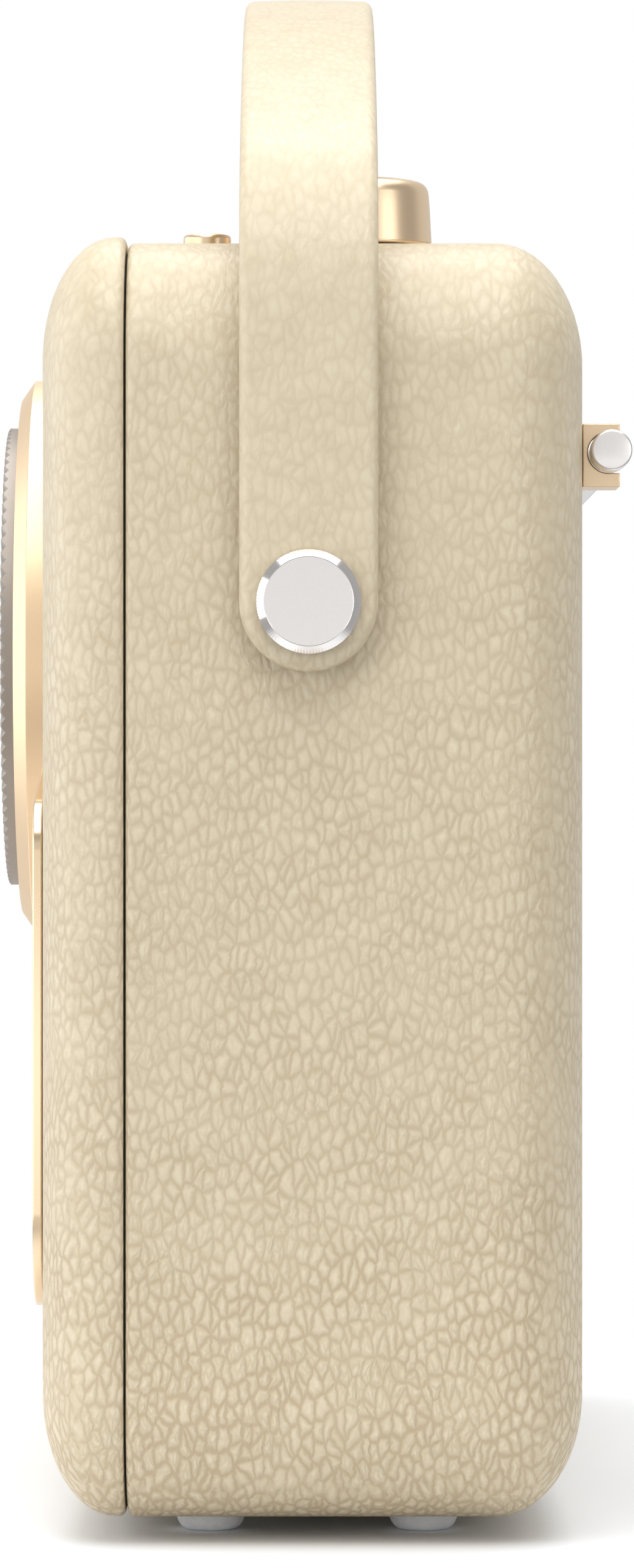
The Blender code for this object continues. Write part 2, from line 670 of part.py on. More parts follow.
def main():
    make_rear_shell()
    make_front_frame()
    make_gasket()
    make_baffle()
    make_grille()
    make_dial()
    make_speaker("left", -SPEAKER_X)
    make_speaker("right", SPEAKER_X)
    make_knob("volume", "potentiometer", -KNOB_X)
    make_knob("tuning", "encoder", KNOB_X)
    for name, x in BUTTONS.items():
        make_button(name, x)
    make_control_board()
    make_electronics()
    make_battery()
    make_sockets()
    make_strap()
    make_stud("left", -1)
    make_stud("right", 1)
    make_clip()
    make_swivel()
    make_mast()
    for side, x in (("left", -FOOT_X), ("right", FOOT_X)):
        make_foot(f"{side}_front_foot", x, FOOT_Y[0])
        make_foot(f"{side}_rear_foot", x, FOOT_Y[1])
    for side, x in (("left", -SCREW_X), ("right", SCREW_X)):
        make_screw(f"{side}_lower_screw", x, SCREW_Z[0])
        make_screw(f"{side}_upper_screw", x, SCREW_Z[1])


main()
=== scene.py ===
"""Tabletop radio: the finished look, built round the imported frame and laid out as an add-on.

Frame: +Z is up, the front faces -Y, and the origin lies on the table under the middle of the radio.
Shapes are worked out in millimetres, and MM turns them into Blender's metres.
"""

import json
import math

import bmesh
import bpy
from bpy.props import FloatProperty, FloatVectorProperty, IntProperty, PointerProperty
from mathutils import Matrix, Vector

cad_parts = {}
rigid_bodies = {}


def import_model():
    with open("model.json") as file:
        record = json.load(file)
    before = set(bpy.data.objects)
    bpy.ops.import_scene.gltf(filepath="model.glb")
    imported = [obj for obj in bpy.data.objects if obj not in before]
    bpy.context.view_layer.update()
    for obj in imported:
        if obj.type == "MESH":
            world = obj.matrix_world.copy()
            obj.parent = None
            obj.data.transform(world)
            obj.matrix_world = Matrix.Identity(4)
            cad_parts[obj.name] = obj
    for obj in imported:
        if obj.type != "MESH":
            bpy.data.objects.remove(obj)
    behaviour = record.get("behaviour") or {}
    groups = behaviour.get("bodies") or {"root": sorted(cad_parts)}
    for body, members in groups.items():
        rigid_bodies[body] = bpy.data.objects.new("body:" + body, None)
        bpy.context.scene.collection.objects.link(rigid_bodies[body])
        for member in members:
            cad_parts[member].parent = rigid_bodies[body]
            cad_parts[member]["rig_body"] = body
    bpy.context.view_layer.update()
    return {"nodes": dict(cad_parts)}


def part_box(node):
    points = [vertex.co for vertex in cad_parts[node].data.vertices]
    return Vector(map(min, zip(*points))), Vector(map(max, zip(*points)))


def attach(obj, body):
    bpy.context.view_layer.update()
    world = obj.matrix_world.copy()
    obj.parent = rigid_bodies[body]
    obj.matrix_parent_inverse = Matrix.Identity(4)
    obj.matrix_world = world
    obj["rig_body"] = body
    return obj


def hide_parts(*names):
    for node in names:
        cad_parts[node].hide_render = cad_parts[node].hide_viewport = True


bl_info = {
    "name": "Tabletop Radio",
    "version": (1, 0, 0),
    "blender": (4, 5, 0),
    "location": "View3D > Sidebar > Radio",
    "description": "Builds a leather-wrapped tabletop radio piece by piece",
    "category": "Object",
}

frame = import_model()
BODY_OF = {name: node["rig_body"] for name, node in frame["nodes"].items()}

MM = 0.001
CAMERA_LENS = 151.63
CAMERA_PLACE = (1.1885, 0.0009, 0.1216)
RIGHT = Vector((1, 0, 0))
BACK = Vector((0, 1, 0))
UP = Vector((0, 0, 1))
FRONT = -BACK


def box_mm(node):
    """Lowest and highest corner of a frame node, in millimetres."""
    low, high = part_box(node)
    return low / MM, high / MM


def middle_mm(node):
    low, high = box_mm(node)
    return (low + high) / 2


# Sizes read from the frame

SHELL_LOW, SHELL_HIGH = box_mm("rear_shell")
RIM_LOW, RIM_HIGH = box_mm("front_frame")
DIAL_CENTRE = middle_mm("dial_ring")
DIAL_Z = DIAL_CENTRE.z
DIAL_MIDDLE = (0, 0, DIAL_Z)
STUD_CENTRE = middle_mm("right_stud")
STRAP_LOW, STRAP_HIGH = box_mm("handle_strap")
AERIAL_LINE = middle_mm("aerial_rod")
AERIAL_Y, AERIAL_Z = AERIAL_LINE.y, AERIAL_LINE.z
DOOR_LOW, DOOR_HIGH = box_mm("battery_door")
PANEL_LOW, PANEL_HIGH = box_mm("socket_panel")

# Sizes that drive the shapes

CORNER = 20.0
WALL = 4.0
BACK_ROLL = 14.0
FRONT_ROLL = 11.8
SEAM_LIP = 0.18  # how far the leather reaches into the seam's gap from each side
UNDER_TOP = 195.0  # inside the cabinet, where the cutters for its top start
BEZEL_RADIUS = 49.5
HUB_RADIUS = 32.8
STRAP_THICKNESS = 3.6
STRAP_STRAIGHT = 48.0
STRAP_ARCH_RADIUS = 264.0
STRAP_ARCH_ANGLE = math.radians(30)
STRAP_TURN = math.pi / 2 - STRAP_ARCH_ANGLE
STRAP_X = STRAP_HIGH.x - STRAP_THICKNESS / 2
STRAP_BEND = (STRAP_X - STRAP_ARCH_RADIUS * math.sin(STRAP_ARCH_ANGLE)) / (1 - math.sin(STRAP_ARCH_ANGLE))
STRAP_HALF_LENGTH = STRAP_STRAIGHT + STRAP_BEND * STRAP_TURN + STRAP_ARCH_RADIUS * STRAP_ARCH_ANGLE
GRILLE_SIDE = 117.5
GRILLE_BOTTOM = 35.9
GRILLE_SHOULDER = 118.0
GRILLE_SLOPE = math.radians(9.5)
GRILLE_BORDER = 7.0
FORK_RADIUS = 3.4
AERIAL_PIVOT_X = box_mm("aerial_swivel")[1].x - FORK_RADIUS
MAST_START_X = -100.8
CONTROLS = ("volume", "tuning")
BUTTONS = ("power", "band", "memory", "light", "alarm", "mute")
SCREWS = ("left_lower", "left_upper", "right_lower", "right_upper")
FEET = ("left_front", "left_rear", "right_front", "right_rear")


# Settings


def colour(name, description, value):
    return FloatVectorProperty(
        name=name, description=description, default=value, subtype="COLOR", size=3, min=0, max=1
    )


def length(name, description, value):
    return FloatProperty(name=name, description=description, default=value, unit="LENGTH", min=0)


def amount(name, description, value, highest=1.0):
    return FloatProperty(name=name, description=description, default=value, min=0, max=highest)


def count(name, description, value):
    return IntProperty(name=name, description=description, default=value, min=3)


class RadioLeatherSettings(bpy.types.PropertyGroup):
    face: colour("Pebble", "Colour on top of the grain's pebbles", (0.672, 0.594, 0.436))
    # Crease colour: painted shade in the grain's creases, and also the darker tone of the random mottling.
    crease_shade_and_mottle: colour("Crease", "Colour down in the grain's creases", (0.480, 0.384, 0.250))
    pebble: length("Pebble size", "Typical width of one pebble of the grain", 0.0017)
    relief: length("Relief", "Depth of the creases", 0.00015)
    seam_roll: length("Seam roll", "Radius of the leather's turn into the seam", 0.0011)


class RadioMetalSettings(bpy.types.PropertyGroup):
    gold: colour("Champagne gold", "Colour of the dial, grille and controls", (0.86, 0.67, 0.455))
    silver: colour("Satin silver", "Colour of the studs and the aerial", (0.86, 0.83, 0.81))
    satin: amount("Satin", "Roughness of the blasted metal", 0.30)


class RadioDialSettings(bpy.types.PropertyGroup):
    teeth: count("Teeth", "V-grooves round the dial's front edge", 100)
    tooth_depth: length("Tooth depth", "Depth of a V-groove at the edge", 0.00068)
    ticks: count("Ticks", "Marks round the display", 60)


class RadioGrilleSettings(bpy.types.PropertyGroup):
    pitch: length("Pitch", "Distance from one perforation to the next", 0.0036)
    hole: length("Hole radius", "Radius of one perforation", 0.00128)


class RadioStageSettings(bpy.types.PropertyGroup):
    floor: colour("Floor", "Colour of the table top", (0.89, 0.91, 0.94))
    around: amount("Room light", "Strength of the light from the room", 1.0, 10)
    overhead: amount("Overhead", "Power of the soft box above, in watts", 7.5, 100)


# Tools for node trees


def add_node(tree, kind, inputs=None, **settings):
    """Adds a node, sets its options, and fills its inputs with values or with other nodes' outputs."""
    made = tree.nodes.new(kind)
    for name, value in settings.items():
        setattr(made, name, value)
    for socket, value in (inputs or {}).items():
        if isinstance(value, bpy.types.NodeSocket):
            tree.links.new(value, made.inputs[socket])
        else:
            made.inputs[socket].default_value = value
    return made


def maths(tree, operation, *values):
    return add_node(tree, "ShaderNodeMath", dict(enumerate(values)), operation=operation).outputs[0]


def vector_maths(tree, operation, *values):
    inputs = dict(enumerate(values))
    return add_node(tree, "ShaderNodeVectorMath", inputs, operation=operation).outputs[0]


def scaled(tree, vector, factor):
    return add_node(tree, "ShaderNodeVectorMath", {0: vector, "Scale": factor}, operation="SCALE").outputs[0]


def span(tree, vector):
    return add_node(tree, "ShaderNodeVectorMath", {0: vector}, operation="LENGTH").outputs["Value"]


def combined(tree, x=0.0, y=0.0, z=0.0):
    return add_node(tree, "ShaderNodeCombineXYZ", {0: x, 1: y, 2: z}).outputs[0]


def separated(tree, vector):
    return add_node(tree, "ShaderNodeSeparateXYZ", {0: vector}).outputs[:3]


def blend_colours(tree, factor, first, second):
    sockets = {0: factor, 6: first, 7: second}
    return add_node(tree, "ShaderNodeMix", sockets, data_type="RGBA").outputs[2]


def remap(tree, value, start, end, low=0.0, high=1.0, smooth=True):
    inputs = {"Value": value, "From Min": start, "From Max": end, "To Min": low, "To Max": high}
    kind = "SMOOTHSTEP" if smooth else "LINEAR"
    return add_node(tree, "ShaderNodeMapRange", inputs, interpolation_type=kind).outputs[0]


def noise(tree, vector, scale, detail=2.0, roughness=0.5):
    inputs = {"Vector": vector, "Scale": scale, "Detail": detail, "Roughness": roughness}
    return add_node(tree, "ShaderNodeTexNoise", inputs)


def object_vector(tree, scale=(1, 1, 1), location=(0, 0, 0)):
    place = add_node(tree, "ShaderNodeTexCoord").outputs["Object"]
    inputs = {"Vector": place, "Scale": scale, "Location": location}
    return add_node(tree, "ShaderNodeMapping", inputs).outputs[0]


def new_material(name, **shader_values):
    """A material with its shader's plain values set. Returns it with its tree and shader."""
    material = bpy.data.materials.new(name)
    material.use_nodes = True
    tree = material.node_tree
    shader = tree.nodes["Principled BSDF"]
    for socket, value in shader_values.items():
        shader.inputs[socket.replace("_", " ")].default_value = value
    return material, tree, shader


def paint(tree, shader, tone, rough):
    tree.links.new(tone, shader.inputs["Base Color"])
    tree.links.new(rough, shader.inputs["Roughness"])


def rough_bump(tree, shader, height, distance, strength=1.0):
    inputs = {"Height": height, "Distance": distance, "Strength": strength}
    tree.links.new(add_node(tree, "ShaderNodeBump", inputs).outputs[0], shader.inputs["Normal"])


def rgba(colour_value, factor=1.0):
    return (*[min(1.0, channel * factor) for channel in colour_value], 1.0)


# Finishes


def shifted_vector(tree, place, scale, reach):
    """PLACE pushed about by noise, up to REACH each way."""
    drift = noise(tree, place, scale, 1.5).outputs["Color"]
    centred = vector_maths(tree, "SUBTRACT", drift, (0.5, 0.5, 0.5))
    return vector_maths(tree, "MULTIPLY_ADD", centred, (reach * 2,) * 3, place)


def pebble_layer(tree, across, along, size, width, seed, stretch=0.50, lean=-10):
    """Edge mask for painted crease shade, and dome height, of one layer of pebbles, longer along than
    across.
    """
    dome_reach = 0.46
    inputs = {
        "Vector": combined(tree, across, maths(tree, "MULTIPLY", along, stretch)),
        "Location": (seed, seed, 0),
        "Rotation": (0, 0, math.radians(lean)),
        "Scale": (1 / size,) * 3,
    }
    spot = add_node(tree, "ShaderNodeMapping", inputs).outputs[0]
    cells = add_node(
        tree,
        "ShaderNodeTexVoronoi",
        {"Vector": spot, "Scale": 1.0, "Randomness": 0.94},
        feature="DISTANCE_TO_EDGE",
        voronoi_dimensions="2D",
    ).outputs["Distance"]
    # Line and valley mask where painted shade darkens each pebble: a thin line along its edge and a soft
    # fall-off across it.
    line = remap(tree, cells, 0.0, width, 1.0, 0.0)
    valley = remap(tree, cells, 0.0, dome_reach, 1.0, 0.0)
    edge = maths(tree, "MULTIPLY_ADD", valley, 0.70, maths(tree, "MULTIPLY", line, 0.28))
    return edge, remap(tree, cells, 0.0, dome_reach)


def weighed(tree, values, weights):
    """The sum of VALUES, each times its weight."""
    total = 0.0
    for value, weight in zip(values, weights):
        total = maths(tree, "MULTIPLY_ADD", value, weight, total)
    return total


def facing_weights(tree):
    """How squarely a surface faces X, Y and Z. The three weights add up to one."""
    normal = add_node(tree, "ShaderNodeTexCoord").outputs["Normal"]
    weights = [maths(tree, "POWER", maths(tree, "ABSOLUTE", part), 7.0) for part in separated(tree, normal)]
    whole = maths(tree, "ADD", maths(tree, "ADD", weights[0], weights[1]), weights[2])
    return [maths(tree, "DIVIDE", weight, whole) for weight in weights]


def make_leatherette(name, depth=1.0):
    """Soft upright pebbles parted by shallow creases darkened with painted shade; the creases are deepest
    near the table, where their colour also paints shade on the lower part, and smoother near the top.
    """
    leather = bpy.context.scene.radio_leather
    material, tree, shader = new_material(name, Specular_IOR_Level=0.5, IOR=1.46)
    place = object_vector(tree)
    bent = shifted_vector(tree, shifted_vector(tree, place, 150.0, 0.0009), 700.0, 0.00045)
    x, y, z = separated(tree, bent)
    planes = ((y, z), (x, z), (y, x))
    big = [pebble_layer(tree, *plane, leather.pebble, 0.19, 0.0) for plane in planes]
    small_size = leather.pebble * 0.52
    small = [pebble_layer(tree, *plane, small_size, 0.23, 0.013, stretch=0.36, lean=16) for plane in planes]
    weights = facing_weights(tree)
    edge, dome = [weighed(tree, values, weights) for values in zip(*big)]
    fine_edge, fine_dome = [weighed(tree, values, weights) for values in zip(*small)]

    level = separated(tree, place)[2]
    # Near the table the creases run deeper and darker: the deeper relief is real, and the darker colour
    # paints shade on the lower part.
    low_depth_and_shade = remap(tree, level, 0.0, 0.09, depth * 1.45, depth * 0.86)
    # This carries that painted shade near the table, and the smoother, stretched grain near the top.
    stretch_and_low_shade = maths(tree, "MULTIPLY", low_depth_and_shade, remap(tree, level, 0.11, 0.19, 1.0, 0.62))
    patches = noise(tree, place, 70.0, 2.0).outputs["Fac"]
    deep = maths(tree, "MULTIPLY", remap(tree, patches, 0.34, 0.64, 0.72, 0.95), stretch_and_low_shade)
    fine_patches = noise(tree, place, 110.0, 1.0).outputs["Fac"]
    shallow = maths(tree, "MULTIPLY", remap(tree, fine_patches, 0.36, 0.64, 0.20, 0.50), stretch_and_low_shade)
    # How strongly painted shade darkens the creases; the same mask also makes them rougher.
    crease_shade = maths(tree, "MULTIPLY", edge, deep)
    crease_shade = maths(tree, "MAXIMUM", crease_shade, maths(tree, "MULTIPLY", fine_edge, shallow))

    grain = noise(tree, place, 1500.0, 2.0).outputs["Fac"]
    mottled = remap(tree, noise(tree, bent, 260.0, 2.0).outputs["Fac"], 0.3, 0.75, 0.0, 0.26)
    worn = maths(tree, "MULTIPLY_ADD", grain, 0.16, mottled)
    face = blend_colours(tree, worn, rgba(leather.face, 1.06), rgba(leather.crease_shade_and_mottle, 1.1))
    # The crease colour laid into the creases is painted shade.
    surface = blend_colours(tree, maths(tree, "MULTIPLY", crease_shade, 0.9), face, rgba(leather.crease_shade_and_mottle))
    paint(tree, shader, surface, maths(tree, "MULTIPLY_ADD", crease_shade, 0.16, 0.36))

    fine_height = maths(tree, "MULTIPLY", fine_dome, maths(tree, "MULTIPLY", shallow, 0.7))
    height = maths(tree, "MULTIPLY_ADD", dome, deep, fine_height)
    height = maths(tree, "MULTIPLY_ADD", grain, 0.12, height)
    rough_bump(tree, shader, height, leather.relief, 0.9)
    return material


def make_metal(name, tint, roughness, grain=0.5, spun_round=None):
    """Blasted metal with a fine even grain, or metal spun round an axis along Y through SPUN_ROUND."""
    material, tree, shader = new_material(name, Metallic=1.0)
    place = object_vector(tree)
    speckle = noise(tree, place, 5200.0, 1.0).outputs["Fac"]
    cloud = noise(tree, place, 34.0, 3.0).outputs["Fac"]
    shade = maths(tree, "MULTIPLY_ADD", speckle, 0.45, maths(tree, "MULTIPLY", cloud, 0.35))
    tone = blend_colours(tree, shade, rgba(tint, 1.08), rgba(tint, 0.88))
    rough = remap(tree, shade, 0.1, 0.7, roughness * 0.88, roughness * 1.15, smooth=False)
    paint(tree, shader, tone, rough)
    height = speckle
    if spun_round:
        centred = object_vector(tree, location=(-spun_round[0] * MM, 0, -spun_round[1] * MM))
        radius = span(tree, vector_maths(tree, "MULTIPLY", centred, (1, 0, 1)))
        rings = add_node(tree, "ShaderNodeTexNoise", {"W": radius, "Scale": 4200.0}, noise_dimensions="1D")
        height = maths(tree, "ADD", rings.outputs["Fac"], maths(tree, "MULTIPLY", speckle, 0.3))
    rough_bump(tree, shader, height, 0.000012 * grain, 1.0)
    return material


def make_plain(name, tint, roughness, mottle=0.12, scale=900.0, relief=0.00001, **values):
    """Moulded, pressed or painted stock: its colour and gloss drift a little, over a fine surface grain."""
    material, tree, shader = new_material(name, **values)
    place = object_vector(tree)
    fine = noise(tree, place, scale, 2.0).outputs["Fac"]
    broad = noise(tree, place, 45.0, 2.0).outputs["Fac"]
    shade = maths(tree, "MULTIPLY_ADD", fine, 0.6, maths(tree, "MULTIPLY", broad, 0.4))
    tone = blend_colours(tree, shade, rgba(tint, 1 - mottle), rgba(tint, 1 + mottle))
    rough = remap(tree, shade, 0.3, 0.7, roughness * 0.9, min(1.0, roughness * 1.1), smooth=False)
    paint(tree, shader, tone, rough)
    rough_bump(tree, shader, fine, relief, 1.0)
    return material


def make_foot_plastic():
    """Grey plastic with bright flecks."""
    material, tree, shader = new_material("foot_plastic")
    place = object_vector(tree)
    cells = add_node(tree, "ShaderNodeTexVoronoi", {"Vector": place, "Scale": 3400.0}, feature="F1")
    picked = add_node(tree, "ShaderNodeSeparateColor", {0: cells.outputs["Color"]}).outputs[0]
    fleck = remap(tree, picked, 0.80, 0.97)
    cloud = noise(tree, place, 900.0).outputs["Fac"]
    base = blend_colours(tree, cloud, (0.74, 0.74, 0.75, 1), (0.93, 0.93, 0.94, 1))
    tone = blend_colours(tree, fleck, base, (0.9, 0.9, 0.92, 1))
    paint(tree, shader, tone, remap(tree, fleck, 0, 1, 0.6, 0.3))
    rough_bump(tree, shader, cells.outputs["Distance"], 0.00003, 0.8)
    return material


def make_glass():
    """Clear glass over the display: mostly see-through, with a thin grey film and a sharp gloss."""
    material, tree, shader = new_material("dial_glass", Alpha=0.24, IOR=1.5, Specular_IOR_Level=0.3)
    place = object_vector(tree)
    haze = remap(tree, noise(tree, place, 60.0, 3.0).outputs["Fac"], 0.35, 0.7, 0.02, 0.06)
    cloud = noise(tree, place, 20.0).outputs["Fac"]
    tint = blend_colours(tree, cloud, (0.03, 0.03, 0.032, 1), (0.05, 0.05, 0.052, 1))
    paint(tree, shader, tint, haze)
    return material


def make_fibreboard():
    """Pressed board: flattened fibres lying across the sheet."""
    material, tree, shader = new_material("fibreboard")
    fibres = noise(tree, object_vector(tree, scale=(1.0, 6.0, 5.0)), 260.0, 4.0, 0.65).outputs["Fac"]
    tone = blend_colours(tree, remap(tree, fibres, 0.3, 0.7), (0.25, 0.16, 0.085, 1), (0.44, 0.31, 0.18, 1))
    paint(tree, shader, tone, remap(tree, fibres, 0.3, 0.7, 0.9, 0.75))
    rough_bump(tree, shader, fibres, 0.0001, 0.7)
    return material


def make_speaker_paper():
    """Pressed paper pulp, whose fibres show as soft flecks."""
    tint = (0.035, 0.034, 0.033)
    return make_plain("speaker_paper", tint, 0.9, mottle=0.35, scale=1400.0, relief=0.00006)


def make_circuit_board():
    """Green lacquered board with lighter tracks."""
    material, tree, shader = new_material("circuit_board", Coat_Weight=0.25, Coat_Roughness=0.2)
    tracks = {
        "Vector": object_vector(tree),
        "Color1": (0.02, 0.17, 0.07, 1),
        "Color2": (0.015, 0.13, 0.05, 1),
        "Mortar": (0.05, 0.26, 0.11, 1),
        "Scale": 160.0,
        "Mortar Size": 0.03,
    }
    grid = add_node(tree, "ShaderNodeTexBrick", tracks)
    rough = remap(tree, noise(tree, object_vector(tree), 300.0).outputs["Fac"], 0.3, 0.7, 0.35, 0.5)
    paint(tree, shader, grid.outputs["Color"], rough)
    return material


FINISHES = {}


def make_finishes():
    metal = bpy.context.scene.radio_metal
    FINISHES.update(
        leatherette=make_leatherette("leatherette"),
        strap_leather=make_leatherette("strap_leather", depth=0.75),
        gold=make_metal("champagne_gold", metal.gold, metal.satin),
        polished_gold=make_metal("polished_gold", metal.gold, metal.satin * 0.62, grain=0.3),
        bezel_gold=make_metal("bezel_gold", metal.gold, metal.satin * 1.45, grain=0.5),
        grille_gold=make_metal("grille_gold", metal.gold, metal.satin * 1.1, grain=0.8),
        silver=make_metal("satin_silver", metal.silver, metal.satin * 1.05),
        polished_silver=make_metal("polished_silver", metal.silver, 0.13, grain=0.15),
        spun_silver=make_metal(
            "spun_silver", (0.36, 0.325, 0.295), 0.50, grain=1.6, spun_round=(0, DIAL_Z)
        ),
        chrome=make_metal("aerial_chrome", (0.78, 0.77, 0.76), 0.10, grain=0.1),
        steel=make_metal("plain_steel", (0.50, 0.50, 0.51), 0.36, grain=1.0),
        rubber=make_plain("black_rubber", (0.012, 0.012, 0.012), 0.85, relief=0.00003),
        black_plastic=make_plain("black_plastic", (0.022, 0.022, 0.023), 0.42, relief=0.00002),
        screen=make_plain("display_face", (0.012, 0.012, 0.014), 0.38, mottle=0.05, relief=0.000001),
        white_ink=make_plain("printed_marks", (0.88, 0.86, 0.80), 0.55, mottle=0.05),
        cream_plastic=make_plain("cream_plastic", (0.66, 0.585, 0.42), 0.46, mottle=0.03, relief=0.00002),
        battery_wrap=make_plain("battery_wrap", (0.035, 0.09, 0.26), 0.32, mottle=0.08),
        foot_plastic=make_foot_plastic(),
        glass=make_glass(),
        fibreboard=make_fibreboard(),
        speaker_paper=make_speaker_paper(),
        circuit_board=make_circuit_board(),
    )


# Tools for shapes


def to_object(name, shape, sharp=40.0):
    """Turns SHAPE, made in millimetres, into an object at the origin."""
    bmesh.ops.scale(shape, vec=(MM, MM, MM), verts=shape.verts)
    bmesh.ops.remove_doubles(shape, verts=shape.verts, dist=2e-7)
    bmesh.ops.recalc_face_normals(shape, faces=shape.faces)
    mesh = bpy.data.meshes.new(name)
    shape.to_mesh(mesh)
    shape.free()
    mesh.shade_smooth()
    mesh.set_sharp_from_angle(angle=math.radians(sharp))
    obj = bpy.data.objects.new(name, mesh)
    bpy.context.scene.collection.objects.link(obj)
    return obj


def skin(shape, loops, joined=False, caps=True):
    """Adds a run of loops to SHAPE with four-sided faces between them. A loop of one point is a pole."""
    rows = [[shape.verts.new(point) for point in loop] for loop in loops]
    pairs = list(zip(rows, rows[1:]))
    if joined:
        pairs.append((rows[-1], rows[0]))
    for row, following in pairs:
        total = max(len(row), len(following))
        for index in range(total):
            after = (index + 1) % total
            if len(row) == 1:
                shape.faces.new((row[0], following[after], following[index]))
            elif len(following) == 1:
                shape.faces.new((row[index], row[after], following[0]))
            else:
                shape.faces.new((row[index], row[after], following[after], following[index]))
    if caps and not joined:
        for row in (rows[0], rows[-1]):
            if len(row) > 2:
                shape.faces.new(row)
    return shape


def loft(name, loops, joined=False, caps=True, sharp=40.0):
    return to_object(name, skin(bmesh.new(), loops, joined, caps), sharp)


def softened(profile, radius, closed=False, steps=3):
    """Rounds the corners of a profile with small arcs."""
    result = []
    total = len(profile)
    for index, point in enumerate(profile):
        corner = Vector(point)
        if not closed and index in (0, total - 1):
            result.append(corner)
            continue
        before = Vector(profile[index - 1]) - corner
        after = Vector(profile[(index + 1) % total]) - corner
        opening = before.angle(after)
        if opening > math.radians(168):
            result.append(corner)
            continue
        reach = min(radius / math.tan(opening / 2), 0.45 * min(before.length, after.length))
        start = corner + before.normalized() * reach
        end = corner + after.normalized() * reach
        for step in range(steps + 1):
            t = step / steps
            result.append(start * (1 - t) ** 2 + corner * 2 * t * (1 - t) + end * t**2)
    return result


def turned_loops(profile, at, axis, steps, wave=None):
    """Circles for each (radius, height) of PROFILE round AXIS. WAVE(index, step) is added to both."""
    turn = UP.rotation_difference(axis)
    loops = []
    for index, (radius, height) in enumerate(profile):
        if radius < 1e-6:
            loops.append([Vector(at) + turn @ Vector((0, 0, height))])
            continue
        loop = []
        for step in range(steps):
            angle = 2 * math.pi * step / steps
            grown, raised = wave(index, step) if wave else (0, 0)
            wide = radius + grown
            spot = Vector((wide * math.cos(angle), wide * math.sin(angle), height + raised))
            loop.append(Vector(at) + turn @ spot)
        loops.append(loop)
    return loops


def turned(name, profile, at, axis, steps=64, ring=False, sharp=40.0, wave=None):
    return loft(name, turned_loops(profile, at, axis, steps, wave), joined=ring, sharp=sharp)


def arc(centre, radius, start, end, steps):
    angles = [math.radians(start + (end - start) * step / steps) for step in range(steps + 1)]
    return [(centre[0] + radius * math.cos(a), centre[1] + radius * math.sin(a)) for a in angles]


def rounded_rectangle(left, right, bottom, top, radius, steps=14):
    centres = [
        (right - radius, top - radius, 0),
        (left + radius, top - radius, 90),
        (left + radius, bottom + radius, 180),
        (right - radius, bottom + radius, 270),
    ]
    return [p for x, z, turn in centres for p in arc((x, z), radius, turn, turn + 90, steps)]


def block(name, low, high, soften=0.0, segments=3):
    """A block between two corners with rounded edges."""
    shape = bmesh.new()
    low, high = Vector(low), Vector(high)
    bmesh.ops.create_cube(shape, size=1.0)
    bmesh.ops.scale(shape, vec=high - low, verts=shape.verts)
    bmesh.ops.translate(shape, vec=(low + high) / 2, verts=shape.verts)
    if soften:
        edges = shape.edges[:]
        bmesh.ops.bevel(shape, geom=edges, offset=soften, segments=segments, profile=0.5, affect="EDGES")
    return to_object(name, shape)


def rod(name, start, axis, distance, radius, steps=32):
    return turned(name, [(0, 0), (radius, 0), (radius, distance), (0, distance)], start, axis, steps)


def settle(obj):
    """Turns the object and its modifiers into one plain mesh."""
    graph = bpy.context.evaluated_depsgraph_get()
    mesh = bpy.data.meshes.new_from_object(obj.evaluated_get(graph))
    obj.modifiers.clear()
    obj.data = mesh
    return obj


def combine(obj, operation, others):
    """Cuts OTHERS from OBJ, or joins them to it, then drops them."""
    tools = bpy.data.collections.new(obj.name + "_tools")
    bpy.context.scene.collection.children.link(tools)
    for other in others:
        bpy.context.scene.collection.objects.unlink(other)
        tools.objects.link(other)
    boolean = obj.modifiers.new("combine", "BOOLEAN")
    boolean.operation = operation
    boolean.operand_type = "COLLECTION"
    boolean.collection = tools
    boolean.solver = "EXACT"
    settle(obj)
    for other in others:
        bpy.data.objects.remove(other)
    bpy.data.collections.remove(tools)
    return obj


def cut(obj, *others):
    return combine(obj, "DIFFERENCE", others)


def join(obj, *others):
    return combine(obj, "UNION", others)


def finish_piece(obj, finish, slot, *nodes, body=None, sharp=38.0):
    """Gives a piece its finish and its normals, and lets it stand for frame nodes on their body."""
    obj.data.materials.clear()
    obj.data.materials.append(FINISHES[finish])
    obj.data.polygons.foreach_set("material_index", [0] * len(obj.data.polygons))
    obj.data.shade_smooth()
    obj.data.set_sharp_from_angle(angle=math.radians(sharp))
    weighted = obj.modifiers.new("even_normals", "WEIGHTED_NORMAL")
    weighted.keep_sharp = True
    weighted.weight = 60
    settle(obj)
    if nodes:
        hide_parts(*nodes)
    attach(obj, body or BODY_OF[nodes[0]])
    return obj


# Geometry node trees


def new_tree(name, sizes):
    """A geometry tree with a Geometry input, the named SIZES, and a Finish at the end."""
    tree = bpy.data.node_groups.new(name, "GeometryNodeTree")
    tree.interface.new_socket("Geometry", in_out="INPUT", socket_type="NodeSocketGeometry")
    for label, kind in {**sizes, "Finish": "NodeSocketMaterial"}.items():
        tree.interface.new_socket(label, in_out="INPUT", socket_type=kind)
    tree.interface.new_socket("Geometry", in_out="OUTPUT", socket_type="NodeSocketGeometry")
    return tree, tree.nodes.new("NodeGroupInput").outputs


def end_tree(tree, instances, given, merge=0.0):
    geometry = add_node(tree, "GeometryNodeRealizeInstances", {0: instances}).outputs[0]
    if merge:
        inputs = {"Geometry": geometry, "Distance": merge}
        geometry = add_node(tree, "GeometryNodeMergeByDistance", inputs).outputs[0]
    painted = add_node(tree, "GeometryNodeSetMaterial", {"Geometry": geometry, "Material": given["Finish"]})
    tree.links.new(painted.outputs[0], tree.nodes.new("NodeGroupOutput").inputs[0])


def run_tree(obj, tree, values):
    """Puts TREE on OBJ with its inputs set, and turns the result into a plain mesh."""
    modifier = obj.modifiers.new(tree.name, "NODES")
    modifier.node_group = tree
    for item in tree.interface.items_tree:
        if item.in_out == "INPUT" and item.name in values:
            modifier[item.identifier] = values[item.name]
    return settle(obj)


